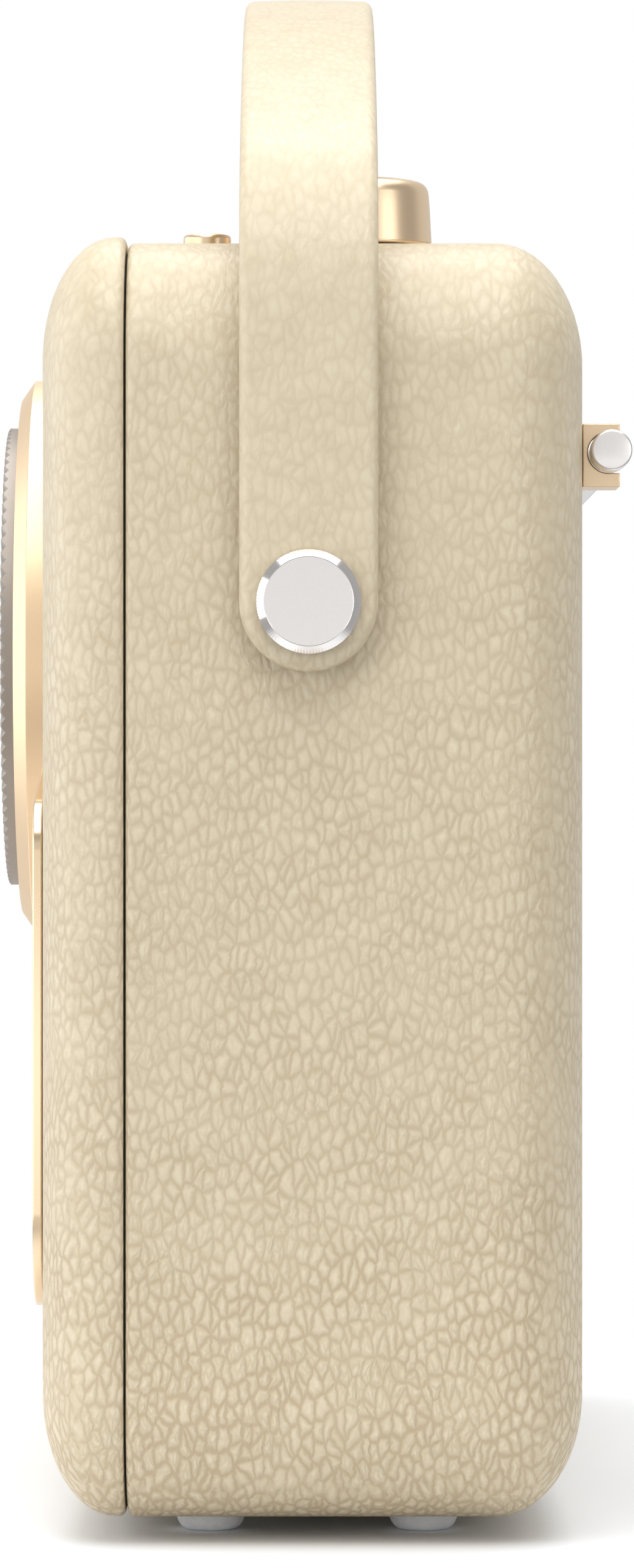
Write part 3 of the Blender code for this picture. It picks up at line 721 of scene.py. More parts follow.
def ring_tree():
    """Copies of one piece, evenly round a circle in the XZ plane, each turned to face outwards."""
    sizes = {
        "Copies": "NodeSocketInt",
        "Radius": "NodeSocketFloat",
        "Centre": "NodeSocketVector",
        "Copied piece": "NodeSocketObject",
    }
    tree, given = new_tree("ring_of_copies", sizes)
    line = add_node(tree, "GeometryNodeMeshLine", {"Count": given["Copies"]})
    index = tree.nodes.new("GeometryNodeInputIndex").outputs[0]
    angle = maths(tree, "MULTIPLY", maths(tree, "DIVIDE", index, given["Copies"]), 2 * math.pi)
    across = maths(tree, "MULTIPLY", maths(tree, "SINE", angle), given["Radius"])
    upward = maths(tree, "MULTIPLY", maths(tree, "COSINE", angle), given["Radius"])
    spot = vector_maths(tree, "ADD", combined(tree, across, 0.0, upward), given["Centre"])
    points = add_node(tree, "GeometryNodeSetPosition", {"Geometry": line.outputs[0], "Position": spot})
    turn = combined(tree, 0.0, angle)
    copied = add_node(tree, "GeometryNodeObjectInfo", {"Object": given["Copied piece"]})
    inputs = {"Points": points.outputs[0], "Instance": copied.outputs["Geometry"], "Rotation": turn}
    end_tree(tree, add_node(tree, "GeometryNodeInstanceOnPoints", inputs).outputs[0], given)
    return tree


def copies_tree():
    """One copy of a piece on each point of the geometry it is given."""
    tree, given = new_tree("copies_on_points", {"Copied piece": "NodeSocketObject"})
    copied = add_node(tree, "GeometryNodeObjectInfo", {"Object": given["Copied piece"]})
    inputs = {"Points": given["Geometry"], "Instance": copied.outputs["Geometry"]}
    end_tree(tree, add_node(tree, "GeometryNodeInstanceOnPoints", inputs).outputs[0], given)
    return tree


def perforation_tree():
    """A flat sheet of six-sided cells, each round a hole, kept where its centre faces the given area."""
    sizes = {
        "Pitch": "NodeSocketFloat",
        "Hole radius": "NodeSocketFloat",
        "Columns": "NodeSocketInt",
        "Rows": "NodeSocketInt",
        "Centre": "NodeSocketVector",
    }
    tree, given = new_tree("perforated_sheet", sizes)
    pitch = given["Pitch"]
    row_pitch = maths(tree, "MULTIPLY", pitch, math.sqrt(0.75))
    grid = add_node(
        tree,
        "GeometryNodeMeshGrid",
        {
            "Size X": maths(tree, "MULTIPLY", maths(tree, "SUBTRACT", given["Columns"], 1.0), pitch),
            "Size Y": maths(tree, "MULTIPLY", maths(tree, "SUBTRACT", given["Rows"], 1.0), row_pitch),
            "Vertices X": given["Columns"],
            "Vertices Y": given["Rows"],
        },
    ).outputs[0]
    here = tree.nodes.new("GeometryNodeInputPosition").outputs[0]
    parts = separated(tree, here)
    row = maths(tree, "ROUND", maths(tree, "DIVIDE", parts[1], row_pitch))
    odd = maths(tree, "FLOORED_MODULO", row, 2.0)
    shifted = maths(tree, "MULTIPLY_ADD", odd, maths(tree, "MULTIPLY", pitch, 0.5), parts[0])
    spot = vector_maths(tree, "ADD", combined(tree, shifted, 0.0, parts[1]), given["Centre"])
    points = add_node(tree, "GeometryNodeSetPosition", {"Geometry": grid, "Position": spot}).outputs[0]
    inputs = {
        "Target Geometry": given["Geometry"],
        "Source Position": vector_maths(tree, "ADD", here, (0, -0.01, 0)),
        "Ray Direction": (0, 1, 0),
        "Ray Length": 0.1,
    }
    ray = add_node(tree, "GeometryNodeRaycast", inputs)
    missed = add_node(tree, "FunctionNodeBooleanMath", {0: ray.outputs["Is Hit"]}, operation="NOT")
    inputs = {"Geometry": points, "Selection": missed.outputs[0]}
    points = add_node(tree, "GeometryNodeDeleteGeometry", inputs).outputs[0]
    cell_radius = maths(tree, "DIVIDE", pitch, math.sqrt(3.0))
    inputs = {"Vertices": 12, "Radius": cell_radius}
    circle = add_node(tree, "GeometryNodeMeshCircle", inputs, fill_type="NGON").outputs[0]
    index = tree.nodes.new("GeometryNodeInputIndex").outputs[0]
    flat_share = math.sqrt(0.75)
    on_corner = maths(tree, "FLOORED_MODULO", index, 2.0)
    reach = maths(tree, "MULTIPLY_ADD", on_corner, 1 - flat_share, flat_share)
    inputs = {"Geometry": circle, "Position": scaled(tree, here, reach)}
    cell = add_node(tree, "GeometryNodeSetPosition", inputs).outputs[0]
    pushed = add_node(tree, "GeometryNodeExtrudeMesh", {"Mesh": cell, "Offset Scale": 0.0}, mode="FACES")
    rim = scaled(tree, vector_maths(tree, "NORMALIZE", here), given["Hole radius"])
    top = pushed.outputs["Top"]
    inputs = {"Geometry": pushed.outputs["Mesh"], "Selection": top, "Position": rim}
    holed = add_node(tree, "GeometryNodeSetPosition", inputs).outputs[0]
    inputs = {"Geometry": holed, "Selection": top}
    opened = add_node(tree, "GeometryNodeDeleteGeometry", inputs, domain="FACE").outputs[0]
    inputs = {"Points": points, "Instance": opened, "Rotation": (math.pi / 2, 0, 0)}
    end_tree(tree, add_node(tree, "GeometryNodeInstanceOnPoints", inputs).outputs[0], given, merge=0.00002)
    return tree


def points_object(name, points):
    mesh = bpy.data.meshes.new(name)
    mesh.from_pydata([Vector(p) * MM for p in points], [], [])
    obj = bpy.data.objects.new(name, mesh)
    bpy.context.scene.collection.objects.link(obj)
    return obj


def copied_on(name, template, points, finish):
    """One mesh with a copy of TEMPLATE on each point."""
    obj = points_object(name, points)
    run_tree(obj, copies_tree(), {"Copied piece": template, "Finish": FINISHES[finish]})
    bpy.data.objects.remove(template)
    return obj


# Cabinet


def cushion_loops(low, high, end, depth, roll, open_y, corner=CORNER, steps=14, middle=4):
    """Outline loops from the open side's rolled rim to the cushioned END (-1 front, 1 back)."""

    def loop(inset, y):
        sides = (low.x + inset, high.x - inset, low.z + inset, high.z - inset)
        return [(x, y, z) for x, z in rounded_rectangle(*sides, max(corner - inset, 0.0), steps)]

    flat_y = (high.y if end > 0 else low.y) - end * depth
    rim_y = open_y + end * roll
    loops = []
    for step in range(9):
        a = math.radians(90 * step / 8)
        loops.append(loop(roll * (1 - math.sin(a)), open_y + end * roll * (1 - math.cos(a))))
    loops += [loop(0, rim_y + (flat_y - rim_y) * step / middle) for step in range(1, middle)]
    for step in range(steps + 1):
        a = math.radians(90 * step / steps)
        loops.append(loop(corner * (1 - math.cos(a)), flat_y + end * depth * math.sin(a)))
    return loops


def flared_hole(name, at, axis, distance, radius, flare):
    """A hole cutter whose mouth at the far end opens with a soft turn, as leather does round a hole."""
    past = distance + 6
    angles = [math.radians(a) for a in (0, 22, 45, 68, 88)]
    mouth = [(radius + flare * (1 - math.cos(a)), distance - flare + flare * math.sin(a)) for a in angles]
    profile = [(0, 0), (radius, 0), *mouth, (radius + flare, past), (0, past)]
    return turned(name, profile, at, axis, steps=32)


def opening_cutter(low, high):
    """Cuts the way in for a panel, with a gap round it and a soft turn at its mouth."""
    gap = 0.5
    corner = 1.2
    back = SHELL_HIGH.y
    loops = []
    for flare, y in ((0, 30), (0, back - 0.9), (0.2, back - 0.35), (0.7, back + 0.02), (0.7, 60)):
        reach = gap + flare
        sides = (low.x - reach, high.x + reach, low.z - reach, high.z + reach)
        loops.append([(x, y, z) for x, z in rounded_rectangle(*sides, corner + flare, 4)])
    return loft("opening", loops)


def build_rear_shell(roll):
    seam_y = SHELL_LOW.y - SEAM_LIP
    shell = loft("rear_cabinet", cushion_loops(SHELL_LOW, SHELL_HIGH, 1, BACK_ROLL, roll, seam_y))
    inner_low = Vector((SHELL_LOW.x + WALL, SHELL_LOW.y - 8, SHELL_LOW.z + WALL))
    inner_high = SHELL_HIGH - Vector((WALL, WALL, WALL))
    hollow = cushion_loops(inner_low, inner_high, 1, 10, 0.5, inner_low.y, corner=16, steps=6)
    cut(shell, loft("hollow", hollow))
    tools = [opening_cutter(DOOR_LOW, DOOR_HIGH), opening_cutter(PANEL_LOW, PANEL_HIGH)]
    for side, direction in (("left", -1), ("right", 1)):
        stud = middle_mm(f"{side}_stud")
        outward = RIGHT * direction
        join(shell, rod("boss", (direction * 133, stud.y, stud.z), outward, 6.5, 7.0))
        tools.append(rod("stud_hole", (direction * 120, stud.y, stud.z), outward, 40, 3.3))
    top_holes = [(f"{control}_knob", 3.8, 0.5) for control in CONTROLS]
    top_holes += [(f"{name}_button", 4.21, 0.6) for name in BUTTONS]
    for node, radius, flare in top_holes:
        spot = middle_mm(node)
        at = (spot.x, spot.y, UNDER_TOP)
        tools.append(flared_hole("top_hole", at, UP, SHELL_HIGH.z - UNDER_TOP, radius, flare))
    for name in FEET:
        spot = middle_mm(f"{name}_foot")
        tools.append(rod("peg_hole", (spot.x, spot.y, 0), UP, 15, 2.4))
    seat_y = 42.3
    for name in SCREWS:
        spot = middle_mm(f"{name}_screw")
        at = (spot.x, seat_y, spot.z)
        tools.append(rod("screw_hole", (spot.x, 30, spot.z), BACK, 12.6, 1.9))
        tools.append(flared_hole("screw_recess", at, BACK, SHELL_HIGH.y - seat_y, 3.6, 0.6))
    cut(shell, *tools)
    return finish_piece(shell, "leatherette", "leatherette", "rear_shell")


def build_front_frame(roll):
    seam_y = RIM_HIGH.y + SEAM_LIP
    rim = loft("front_surround", cushion_loops(RIM_LOW, RIM_HIGH, -1, FRONT_ROLL, roll, seam_y, middle=2))
    inner_low = RIM_LOW + Vector((WALL, WALL, WALL))
    inner_high = Vector((RIM_HIGH.x - WALL, RIM_HIGH.y + 8, RIM_HIGH.z - WALL - 1))
    hollow = cushion_loops(inner_low, inner_high, -1, 6, 0.5, inner_high.y, corner=10, steps=6)
    cut(rim, loft("hollow", hollow))
    windows = [rod("dial_window", (0, -50, DIAL_Z), BACK, 20, 45.3, steps=96)]
    for side in ("left", "right"):
        spot = middle_mm(f"{side}_speaker_cone")
        windows.append(rod("speaker_window", (spot.x, -50, spot.z), BACK, 20, 30, steps=64))
    cut(rim, *windows)
    return finish_piece(rim, "leatherette", "leatherette", "front_frame")


class RADIO_OT_cabinet(bpy.types.Operator):
    """Builds the leather-wrapped shell and front, with the seam between them"""

    bl_idname = "radio.cabinet"
    bl_label = "Cabinet"

    def execute(self, context):
        roll = context.scene.radio_leather.seam_roll / MM
        build_rear_shell(roll)
        build_front_frame(roll)
        return {"FINISHED"}


# Handle


def heading(angle):
    return Vector((math.cos(angle), math.sin(angle)))


def strap_point(distance, across, height):
    """A point on the strap, DISTANCE along it from the right stud and HEIGHT above its middle layer."""
    side = 1
    if distance > STRAP_HALF_LENGTH:
        distance = 2 * STRAP_HALF_LENGTH - distance
        side = -1
    past = distance - STRAP_STRAIGHT
    if past <= 0:
        outward = heading(0)
        spot = Vector((STRAP_X, distance))
    elif past <= STRAP_BEND * STRAP_TURN:
        outward = heading(past / STRAP_BEND)
        spot = Vector((STRAP_X - STRAP_BEND, STRAP_STRAIGHT)) + outward * STRAP_BEND
    else:
        outward = heading(STRAP_TURN + (past - STRAP_BEND * STRAP_TURN) / STRAP_ARCH_RADIUS)
        arch_z = STRAP_STRAIGHT + (STRAP_BEND - STRAP_ARCH_RADIUS) * math.cos(STRAP_ARCH_ANGLE)
        spot = Vector((0, arch_z)) + outward * STRAP_ARCH_RADIUS
    spot += outward * height
    return Vector((side * spot.x, STUD_CENTRE.y + across, STUD_CENTRE.z + spot.y))


def build_strap():
    """One flat strap with round ends and soft edges, crowned a little across its width."""
    half_width = (STRAP_HIGH.y - STRAP_LOW.y) / 2
    total = 2 * STRAP_HALF_LENGTH
    rows = 130
    edge = 1.7
    crown = 0.2
    low = STRAP_THICKNESS / 2 - crown
    quarter = [math.radians(a) for a in range(0, 91, 18)]
    section = [(edge * (1 - math.cos(a)), low * math.sin(a)) for a in quarter]
    section += [(3.0, low + 0.05), (5.0, low + 0.12), (8.0, low + 0.18), (half_width, low + crown)]
    layers = section[::-1] + [(inset, -height) for inset, height in section[1:]]
    lengths = [total * k / rows for k in range(rows + 1)]
    half_turn = [math.pi * k / 28 for k in range(1, 28)]
    loops = []
    for inset, height in layers:
        reach = half_width - inset
        plan = [(along, reach) for along in lengths]
        plan += [(total + reach * math.sin(a), reach * math.cos(a)) for a in half_turn]
        plan += [(along, -reach) for along in reversed(lengths)]
        plan += [(-reach * math.sin(a), -reach * math.cos(a)) for a in half_turn]
        loops.append([strap_point(along, across, height) for along, across in plan])
    strap = loft("carry_strap", loops, caps=False)
    for side in (-1, 1):
        cut(strap, rod("stud_hole", (side * 130, STUD_CENTRE.y, STUD_CENTRE.z), RIGHT * side, 30, 3.4))
    return finish_piece(strap, "strap_leather", "leatherette", "handle_strap")


def build_stud(side, direction):
    """A turned stud: a flat satin face, a polished bevel, and a finely serrated rim."""
    low, high = box_mm(f"{side}_stud")
    face = (high.x if direction > 0 else -low.x) - STRAP_X
    rim = (high.y - low.y) / 2
    bevel = 1.17
    head = STRAP_THICKNESS / 2 + 0.3
    pin = 3.0
    profile = [
        (0, face),
        (rim - bevel - 0.12, face),
        (rim - bevel, face - 0.03),
        (rim - 0.06, face - bevel),
        (rim, face - bevel - 0.08),
        (rim, head + 0.15),
        (rim - 0.15, head),
        (pin, head),
        (pin, -12),
        (0, -12),
    ]
    serrated = {4, 5}
    groove = -0.14

    def wave(index, step):
        return (groove if index in serrated and step % 3 == 0 else 0.0, 0.0)

    at = (direction * STRAP_X, STUD_CENTRE.y, STUD_CENTRE.z)
    stud = turned(f"{side}_handle_stud", profile, at, RIGHT * direction, steps=312, sharp=28, wave=wave)
    finish_piece(stud, "polished_silver", "silver_metal", f"{side}_stud", sharp=14)
    stud.data.materials.append(FINISHES["silver"])
    for polygon in stud.data.polygons:
        on_face = abs(polygon.normal.x) > 0.985 and polygon.center.x * direction > 0.150
        polygon.material_index = 1 if on_face else 0
    spacer = [(8.0, -2.1), (8.0, -3.8), (3.4, -3.8), (3.4, -2.1)]
    washer = turned(f"{side}_washer", softened(spacer, 0.2, closed=True), at, RIGHT * direction, ring=True)
    finish_piece(washer, "rubber", "black_rubber", f"{side}_spacer")


class RADIO_OT_handle(bpy.types.Operator):
    """Builds the strap handle with its two studs and washers"""

    bl_idname = "radio.handle"
    bl_label = "Handle"

    def execute(self, context):
        build_strap()
        build_stud("left", -1)
        build_stud("right", 1)
        return {"FINISHED"}


# Dial


def build_bezel():
    """The gold ring round the dial, with a chamfer at its front edge."""
    profile = [(46.2, 50.4), (BEZEL_RADIUS, 48.1), (BEZEL_RADIUS, 42.4)]
    profile += [(44.8, 42.4), (44.8, 47.2), (41.5, 47.2), (41.5, 50.4)]
    profile = softened(profile, 0.22, closed=True)
    bezel = turned("bezel_ring", profile, DIAL_MIDDLE, FRONT, steps=160, ring=True)
    finish_piece(bezel, "bezel_gold", "gold_metal", "dial_bezel", sharp=50)


def build_dial_ring(teeth, depth):
    """The turning dial: a flat ring with V-grooves of the given DEPTH round its front edge."""
    slant = (0.0, 0.0, 0.33, 0.67, 1.0, 0.67, 0.33, 0.0)
    front, edge, inner = 52.9, 41.0, HUB_RADIUS + 0.4
    profile = [
        (inner, 52.3),
        (34.0, front - 0.25),
        (34.6, front),
        (37.2, front),
        (edge - 0.35, front),
        (edge, front - 0.25),
        (edge, front - 1.0),
        (edge, 51.0),
        (edge, 46.9),
        (44.4, 46.9),
        (44.4, 45.4),
        (inner, 45.4),
    ]
    share = {3: 0.02, 4: 0.9, 5: 1.0}

    def wave(index, step):
        return (0.0, -depth * slant[step % len(slant)] * share.get(index, 0.0))

    steps = teeth * len(slant)
    ring = turned("tuning_ring", profile, DIAL_MIDDLE, FRONT, steps=steps, ring=True, wave=wave)
    finish_piece(ring, "spun_silver", "silver_metal", "dial_ring", sharp=24)


def build_display(ticks):
    """The fixed middle of the dial: its housing, the display under glass, and the marks round it."""
    housing = [(HUB_RADIUS, 50.2), (HUB_RADIUS, 45.1), (44.4, 45.1), (44.4, 38.0)]
    housing += [(26, 38.0), (26, 48.5), (30.5, 48.5), (30.5, 50.2)]
    housing = softened(housing, 0.25, closed=True)
    bowl = turned("display_bowl", housing, DIAL_MIDDLE, FRONT, steps=96, ring=True)
    finish_piece(bowl, "black_plastic", "black_plastic", "dial_housing")

    lens = [(0, 52.0), (7, 51.95), (14, 51.8), (19, 51.5), (24, 51.1), (27.5, 50.7), (30.0, 50.35)]
    lens += [(30.2, 50.1), (30.2, 48.8), (0, 48.8)]
    glass = turned("display_glass", lens, DIAL_MIDDLE, FRONT, steps=96)
    finish_piece(glass, "glass", "lens_glass", "display_lens")

    module = rod("display_unit", (0, -41, DIAL_Z), FRONT, 3, 25.4, steps=72)
    join(module, block("screen", (-19, -48.2, DIAL_Z - 14), (19, -43, DIAL_Z + 14), soften=0.5))
    finish_piece(module, "screen", "black_plastic", "display_module")

    tick = block("tick", (-0.28, -44.25, -1.5), (0.28, -44.0, 1.5))
    marks = points_object("dial_marks", [])
    values = {
        "Copies": ticks,
        "Radius": 23.4 * MM,
        "Centre": (0, 0, DIAL_Z * MM),
        "Copied piece": tick,
        "Finish": FINISHES["white_ink"],
    }
    run_tree(marks, ring_tree(), values)
    bpy.data.objects.remove(tick)
    finish_piece(marks, "white_ink", "black_plastic", body=BODY_OF["display_module"])


class RADIO_OT_dial(bpy.types.Operator):
    """Builds the bezel, the toothed tuning ring and the display under its glass"""

    bl_idname = "radio.dial"
    bl_label = "Dial"

    def execute(self, context):
        dial = context.scene.radio_dial
        build_bezel()
        build_dial_ring(dial.teeth, dial.tooth_depth / MM)
        build_display(dial.ticks)
        return {"FINISHED"}


# Grille


def grille_outline(inset, fine=2):
    """The grille's edge: a wide tray whose sloping shoulders run up to the dial."""
    side = GRILLE_SIDE - inset
    bottom = GRILLE_BOTTOM + inset
    bottom_radius = 16 - inset
    top_radius = 8.5 - inset / 2
    slope = math.tan(GRILLE_SLOPE)
    peak = GRILLE_SHOULDER - inset / math.cos(GRILLE_SLOPE) + GRILLE_SIDE * slope
    corner_x = side - top_radius
    corner_z = peak - slope * corner_x - top_radius / math.cos(GRILLE_SLOPE)
    around_dial = BEZEL_RADIUS + 0.3 + inset
    drop = peak - DIAL_Z
    reach = slope * drop + math.sqrt((slope * drop) ** 2 - (1 + slope**2) * (drop**2 - around_dial**2))
    meet_x = reach / (1 + slope**2)
    meet = math.degrees(math.atan2(peak - slope * meet_x - DIAL_Z, meet_x))
    lean = 90 - math.degrees(GRILLE_SLOPE)
    return (
        arc((-side + bottom_radius, bottom + bottom_radius), bottom_radius, 180, 270, 6 * fine)
        + arc((side - bottom_radius, bottom + bottom_radius), bottom_radius, 270, 360, 6 * fine)
        + arc((corner_x, corner_z), top_radius, 0, lean, 5 * fine)
        + arc((0, DIAL_Z), around_dial, meet, -180 - meet, 30 * fine)
        + arc((-corner_x, corner_z), top_radius, 180 - lean, 180, 5 * fine)
    )


def grille_band(name, section):
    """A closed band along the grille's edge; SECTION holds (inset, y) points."""
    loops = [[(x, y, z) for x, z in grille_outline(inset)] for inset, y in section]
    return loft(name, loops, joined=True)


class RADIO_OT_grille(bpy.types.Operator):
    """Builds the grille's bright surround and its perforated sheet"""

    bl_idname = "radio.grille"
    bl_label = "Grille"

    def execute(self, context):
        grille = context.scene.radio_grille
        front = box_mm("grille_plate")[0].y
        section = [(0, front + 1.6), (0, front), (GRILLE_BORDER, front), (GRILLE_BORDER, front + 1.6)]
        surround = grille_band("grille_surround", softened(section, 0.3, closed=True))
        finish_piece(surround, "polished_gold", "gold_metal", "grille_plate", sharp=50)

        sheet_y = box_mm("grille_mesh")[0].y
        area = bmesh.new()
        area.faces.new([area.verts.new((x, sheet_y, z)) for x, z in grille_outline(GRILLE_BORDER + 2.0)])
        sheet = to_object("perforated_sheet", area)
        values = {
            "Pitch": grille.pitch,
            "Hole radius": grille.hole,
            "Columns": 2 * int(GRILLE_SIDE * MM / grille.pitch) + 3,
            "Rows": 33,
            "Centre": (0, sheet_y * MM, 78 * MM),
            "Finish": FINISHES["grille_gold"],
        }
        run_tree(sheet, perforation_tree(), values)
        thick = sheet.modifiers.new("thickness", "SOLIDIFY")
        thick.thickness = 0.8 * MM
        thick.offset = -1
        settle(sheet)
        outer, inner = GRILLE_BORDER + 0.3, GRILLE_BORDER + 2.4
        ahead, behind = sheet_y - 0.1, sheet_y + 0.9
        section = [(outer, behind), (outer, ahead), (inner, ahead), (inner, behind)]
        hem = grille_band("sheet_hem", softened(section, 0.15, closed=True))
        finish_piece(sheet, "grille_gold", "gold_metal", "grille_mesh", sharp=30)
        finish_piece(hem, "grille_gold", "gold_metal", body=BODY_OF["grille_mesh"])
        return {"FINISHED"}


# Controls


def build_knob(control):
    low, high = box_mm(f"{control}_knob")
    base, top = low.z, high.z
    at = ((low.x + high.x) / 2, (low.y + high.y) / 2, 0)
    profile = [
        (0, top),
        (3, top - 0.12),
        (6, top - 0.42),
        (8.3, top - 0.8),
        (9.1, top - 1.02),
        (9.65, top - 1.35),
        (10.05, top - 1.8),
        (10.3, top - 2.35),
        (10.42, top - 3.0),
        (10.6, base + 6),
        (10.88, base + 0.75),
        (10.88, base + 0.45),
        (10.5, base + 0.42),
        (10.5, base + 0.1),
        (10.4, base),
        (2.4, base),
        (2.4, base + 6.8),
        (0, base + 6.8),
    ]
    knob = turned(f"{control}_dome", profile, at, UP, steps=128)
    finish_piece(knob, "gold", "gold_metal", f"{control}_knob", sharp=45)


def build_button(name):
    low, high = box_mm(f"{name}_button")
    top = high.z
    radius, flange = 3.86, 5.2
    flange_top = 204.4
    at = ((low.x + high.x) / 2, (low.y + high.y) / 2, 0)
    profile = [
        (0, top),
        (2.2, top - 0.02),
        (3.3, top - 0.06),
        (3.6, top - 0.16),
        (3.77, top - 0.34),
        (3.84, top - 0.6),
        (radius, top - 0.95),
        (radius, flange_top),
        (flange, flange_top),
        (flange, flange_top - 1.2),
        (0, flange_top - 3.6),
    ]
    button = turned(f"{name}_key", profile, at, UP, steps=64)
    finish_piece(button, "gold", "gold_metal", f"{name}_button", sharp=45)


class RADIO_OT_controls(bpy.types.Operator):
    """Builds the two knobs and the six push buttons on the top"""

    bl_idname = "radio.controls"
    bl_label = "Knobs and Buttons"

    def execute(self, context):
        for control in CONTROLS:
            build_knob(control)
        for name in BUTTONS:
            build_button(name)
        return {"FINISHED"}


# Aerial


def build_clip():
    """The rest that the stowed aerial snaps into, open towards the back."""
    low, high = box_mm("aerial_clip")
    groove = 3.3
    mouth = arc((AERIAL_Y - 0.2, AERIAL_Z), groove, 270, 90, 16)
    section = [(low.y, low.z), (high.y, low.z), (high.y, AERIAL_Z - groove), *mouth]
    section += [(high.y, AERIAL_Z + groove), (high.y, high.z), (low.y, high.z)]
    clip = loft("aerial_rest", [[(x, y, z) for y, z in section] for x in (low.x, high.x)])
    bevel = clip.modifiers.new("edges", "BEVEL")
    bevel.width = 0.25 * MM
    bevel.segments = 2
    bevel.limit_method = "ANGLE"
    bevel.angle_limit = math.radians(35)
    settle(clip)
    finish_piece(clip, "gold", "gold_metal", "aerial_clip")


def build_swivel():
    """The fork that holds the mast's tongue, and the bracket that it turns in."""
    low, high = box_mm("aerial_base")
    base = block("aerial_bracket", low, high, soften=1.0)
    cut(base, rod("spindle_bore", (low.x + 1, AERIAL_Y, AERIAL_Z), RIGHT, 20, 2.5))
    finish_piece(base, "gold", "gold_metal", "aerial_base")
    pivot = (AERIAL_PIVOT_X, AERIAL_Y, AERIAL_Z)
    neck, spindle, half_slot = 3.1, 2.2, 1.4
    dome = arc((0, 0), FORK_RADIUS, 88, 8, 10)
    profile = [(0, FORK_RADIUS), *dome, (FORK_RADIUS, -5.7), (neck, -6.0)]
    profile += [(spindle, -6.0), (spindle, -16.0), (0, -16.0)]
    fork = turned("aerial_fork", profile, pivot, RIGHT, steps=48)
    slot_low = (AERIAL_PIVOT_X - FORK_RADIUS, 40, AERIAL_Z - half_slot)
    slot = block("slot", slot_low, (AERIAL_PIVOT_X + 10, 60, AERIAL_Z + half_slot))
    cut(fork, slot, rod("pin_hole", (AERIAL_PIVOT_X, AERIAL_Y, 165), UP, 20, 1.1))
    finish_piece(fork, "chrome", "silver_metal", "aerial_swivel")


def build_tube(number, outer, inner):
    """One tube of the mast, with a rolled groove near its open end."""
    low, high = box_mm(f"aerial_tube_{number}")
    start = MAST_START_X if number == 1 else low.x
    run = high.x - start
    profile = [(0, 0), (outer - 0.3, 0), (outer, 0.3), (outer, run - 3.4), (outer - 0.12, run - 3.2)]
    profile += [(outer, run - 3.0), (outer, run - 0.25), (outer - 0.2, run)]
    profile += [(inner, run), (inner, 2), (0, 2)]
    return turned(f"mast_tube_{number}", profile, (start, AERIAL_Y, AERIAL_Z), RIGHT, steps=40)


def build_mast():
    """The lower tube with its flat tongue, the two tubes inside it, and the tip."""
    half_tongue = 1.1
    tongue_z = AERIAL_Z - half_tongue
    mast = build_tube(1, 2.8, 2.45)
    tongue = rod("tongue", (AERIAL_PIVOT_X, AERIAL_Y, tongue_z), UP, 2 * half_tongue, 2.6)
    blade_high = (MAST_START_X + 1.3, AERIAL_Y + 2.4, AERIAL_Z + half_tongue)
    blade = block("blade", (AERIAL_PIVOT_X, AERIAL_Y - 2.4, tongue_z), blade_high)
    join(mast, tongue, blade)
    cut(mast, rod("tongue_hole", (AERIAL_PIVOT_X, AERIAL_Y, 165), UP, 20, 1.15))
    finish_piece(mast, "chrome", "aerial_chrome", "aerial_tube_1")
    for number, outer, inner in ((2, 2.2, 1.85), (3, 1.6, 1.25)):
        finish_piece(build_tube(number, outer, inner), "chrome", "aerial_chrome", f"aerial_tube_{number}")
    low, high = box_mm("aerial_tip")
    radius = (high.z - low.z) / 2
    run = high.x - low.x
    bore = 1.25
    profile = [(0, run), (radius - 0.35, run), (radius - 0.08, run - 0.1), (radius, run - 0.4)]
    profile += [(radius, 0.3), (radius - 0.3, 0), (bore, 0), (bore, 4.5), (0, 4.5)]
    tip = turned("mast_tip", profile, (low.x, AERIAL_Y, AERIAL_Z), RIGHT, steps=72)
    finish_piece(tip, "silver", "silver_metal", "aerial_tip", sharp=60)


class RADIO_OT_aerial(bpy.types.Operator):
    """Builds the telescopic aerial, its swivel and the rest that holds its tip"""

    bl_idname = "radio.aerial"
    bl_label = "Aerial"

    def execute(self, context):
        build_clip()
        build_swivel()
        build_mast()
        return {"FINISHED"}


# Back and underside


def build_screws():
    """Four pan-head screws with cross recesses, copied from one."""
    profile = [(0, 44.45), (1.6, 44.4), (2.6, 44.15), (3.05, 43.75), (3.2, 43.3)]
    profile += [(3.2, 42.6), (1.6, 42.6), (1.6, 24), (0, 24)]
    screw = turned("screw", profile, (0, 0, 0), BACK, steps=36)
    across = block("across", (-1.8, 43.4, -0.35), (1.8, 50, 0.35), soften=0.1, segments=1)
    upward = block("upward", (-0.35, 43.4, -1.8), (0.35, 50, 1.8), soften=0.1, segments=1)
    cut(screw, across, upward)
    nodes = [f"{name}_screw" for name in SCREWS]
    points = [(middle_mm(node).x, 0, middle_mm(node).z) for node in nodes]
    finish_piece(copied_on("case_screws", screw, points, "steel"), "steel", "plain_steel", *nodes)


def build_feet():
    """Four round feet, copied from one."""
    profile = [(0, 6.8), (2.1, 6.8), (2.1, 3.2), (5.6, 3.2), (5.58, 2.5), (5.45, 1.8)]
    profile += [(5.2, 1.2), (4.8, 0.65), (4.2, 0.22), (3.4, 0.02), (3.2, 0), (0, 0)]
    foot = turned("foot", profile, (0, 0, 0), UP, steps=56)
    nodes = [f"{name}_foot" for name in FEET]
    points = [(middle_mm(node).x, middle_mm(node).y, 0) for node in nodes]
    feet = copied_on("table_feet", foot, points, "foot_plastic")
    finish_piece(feet, "foot_plastic", "grey_plastic", *nodes, sharp=50)


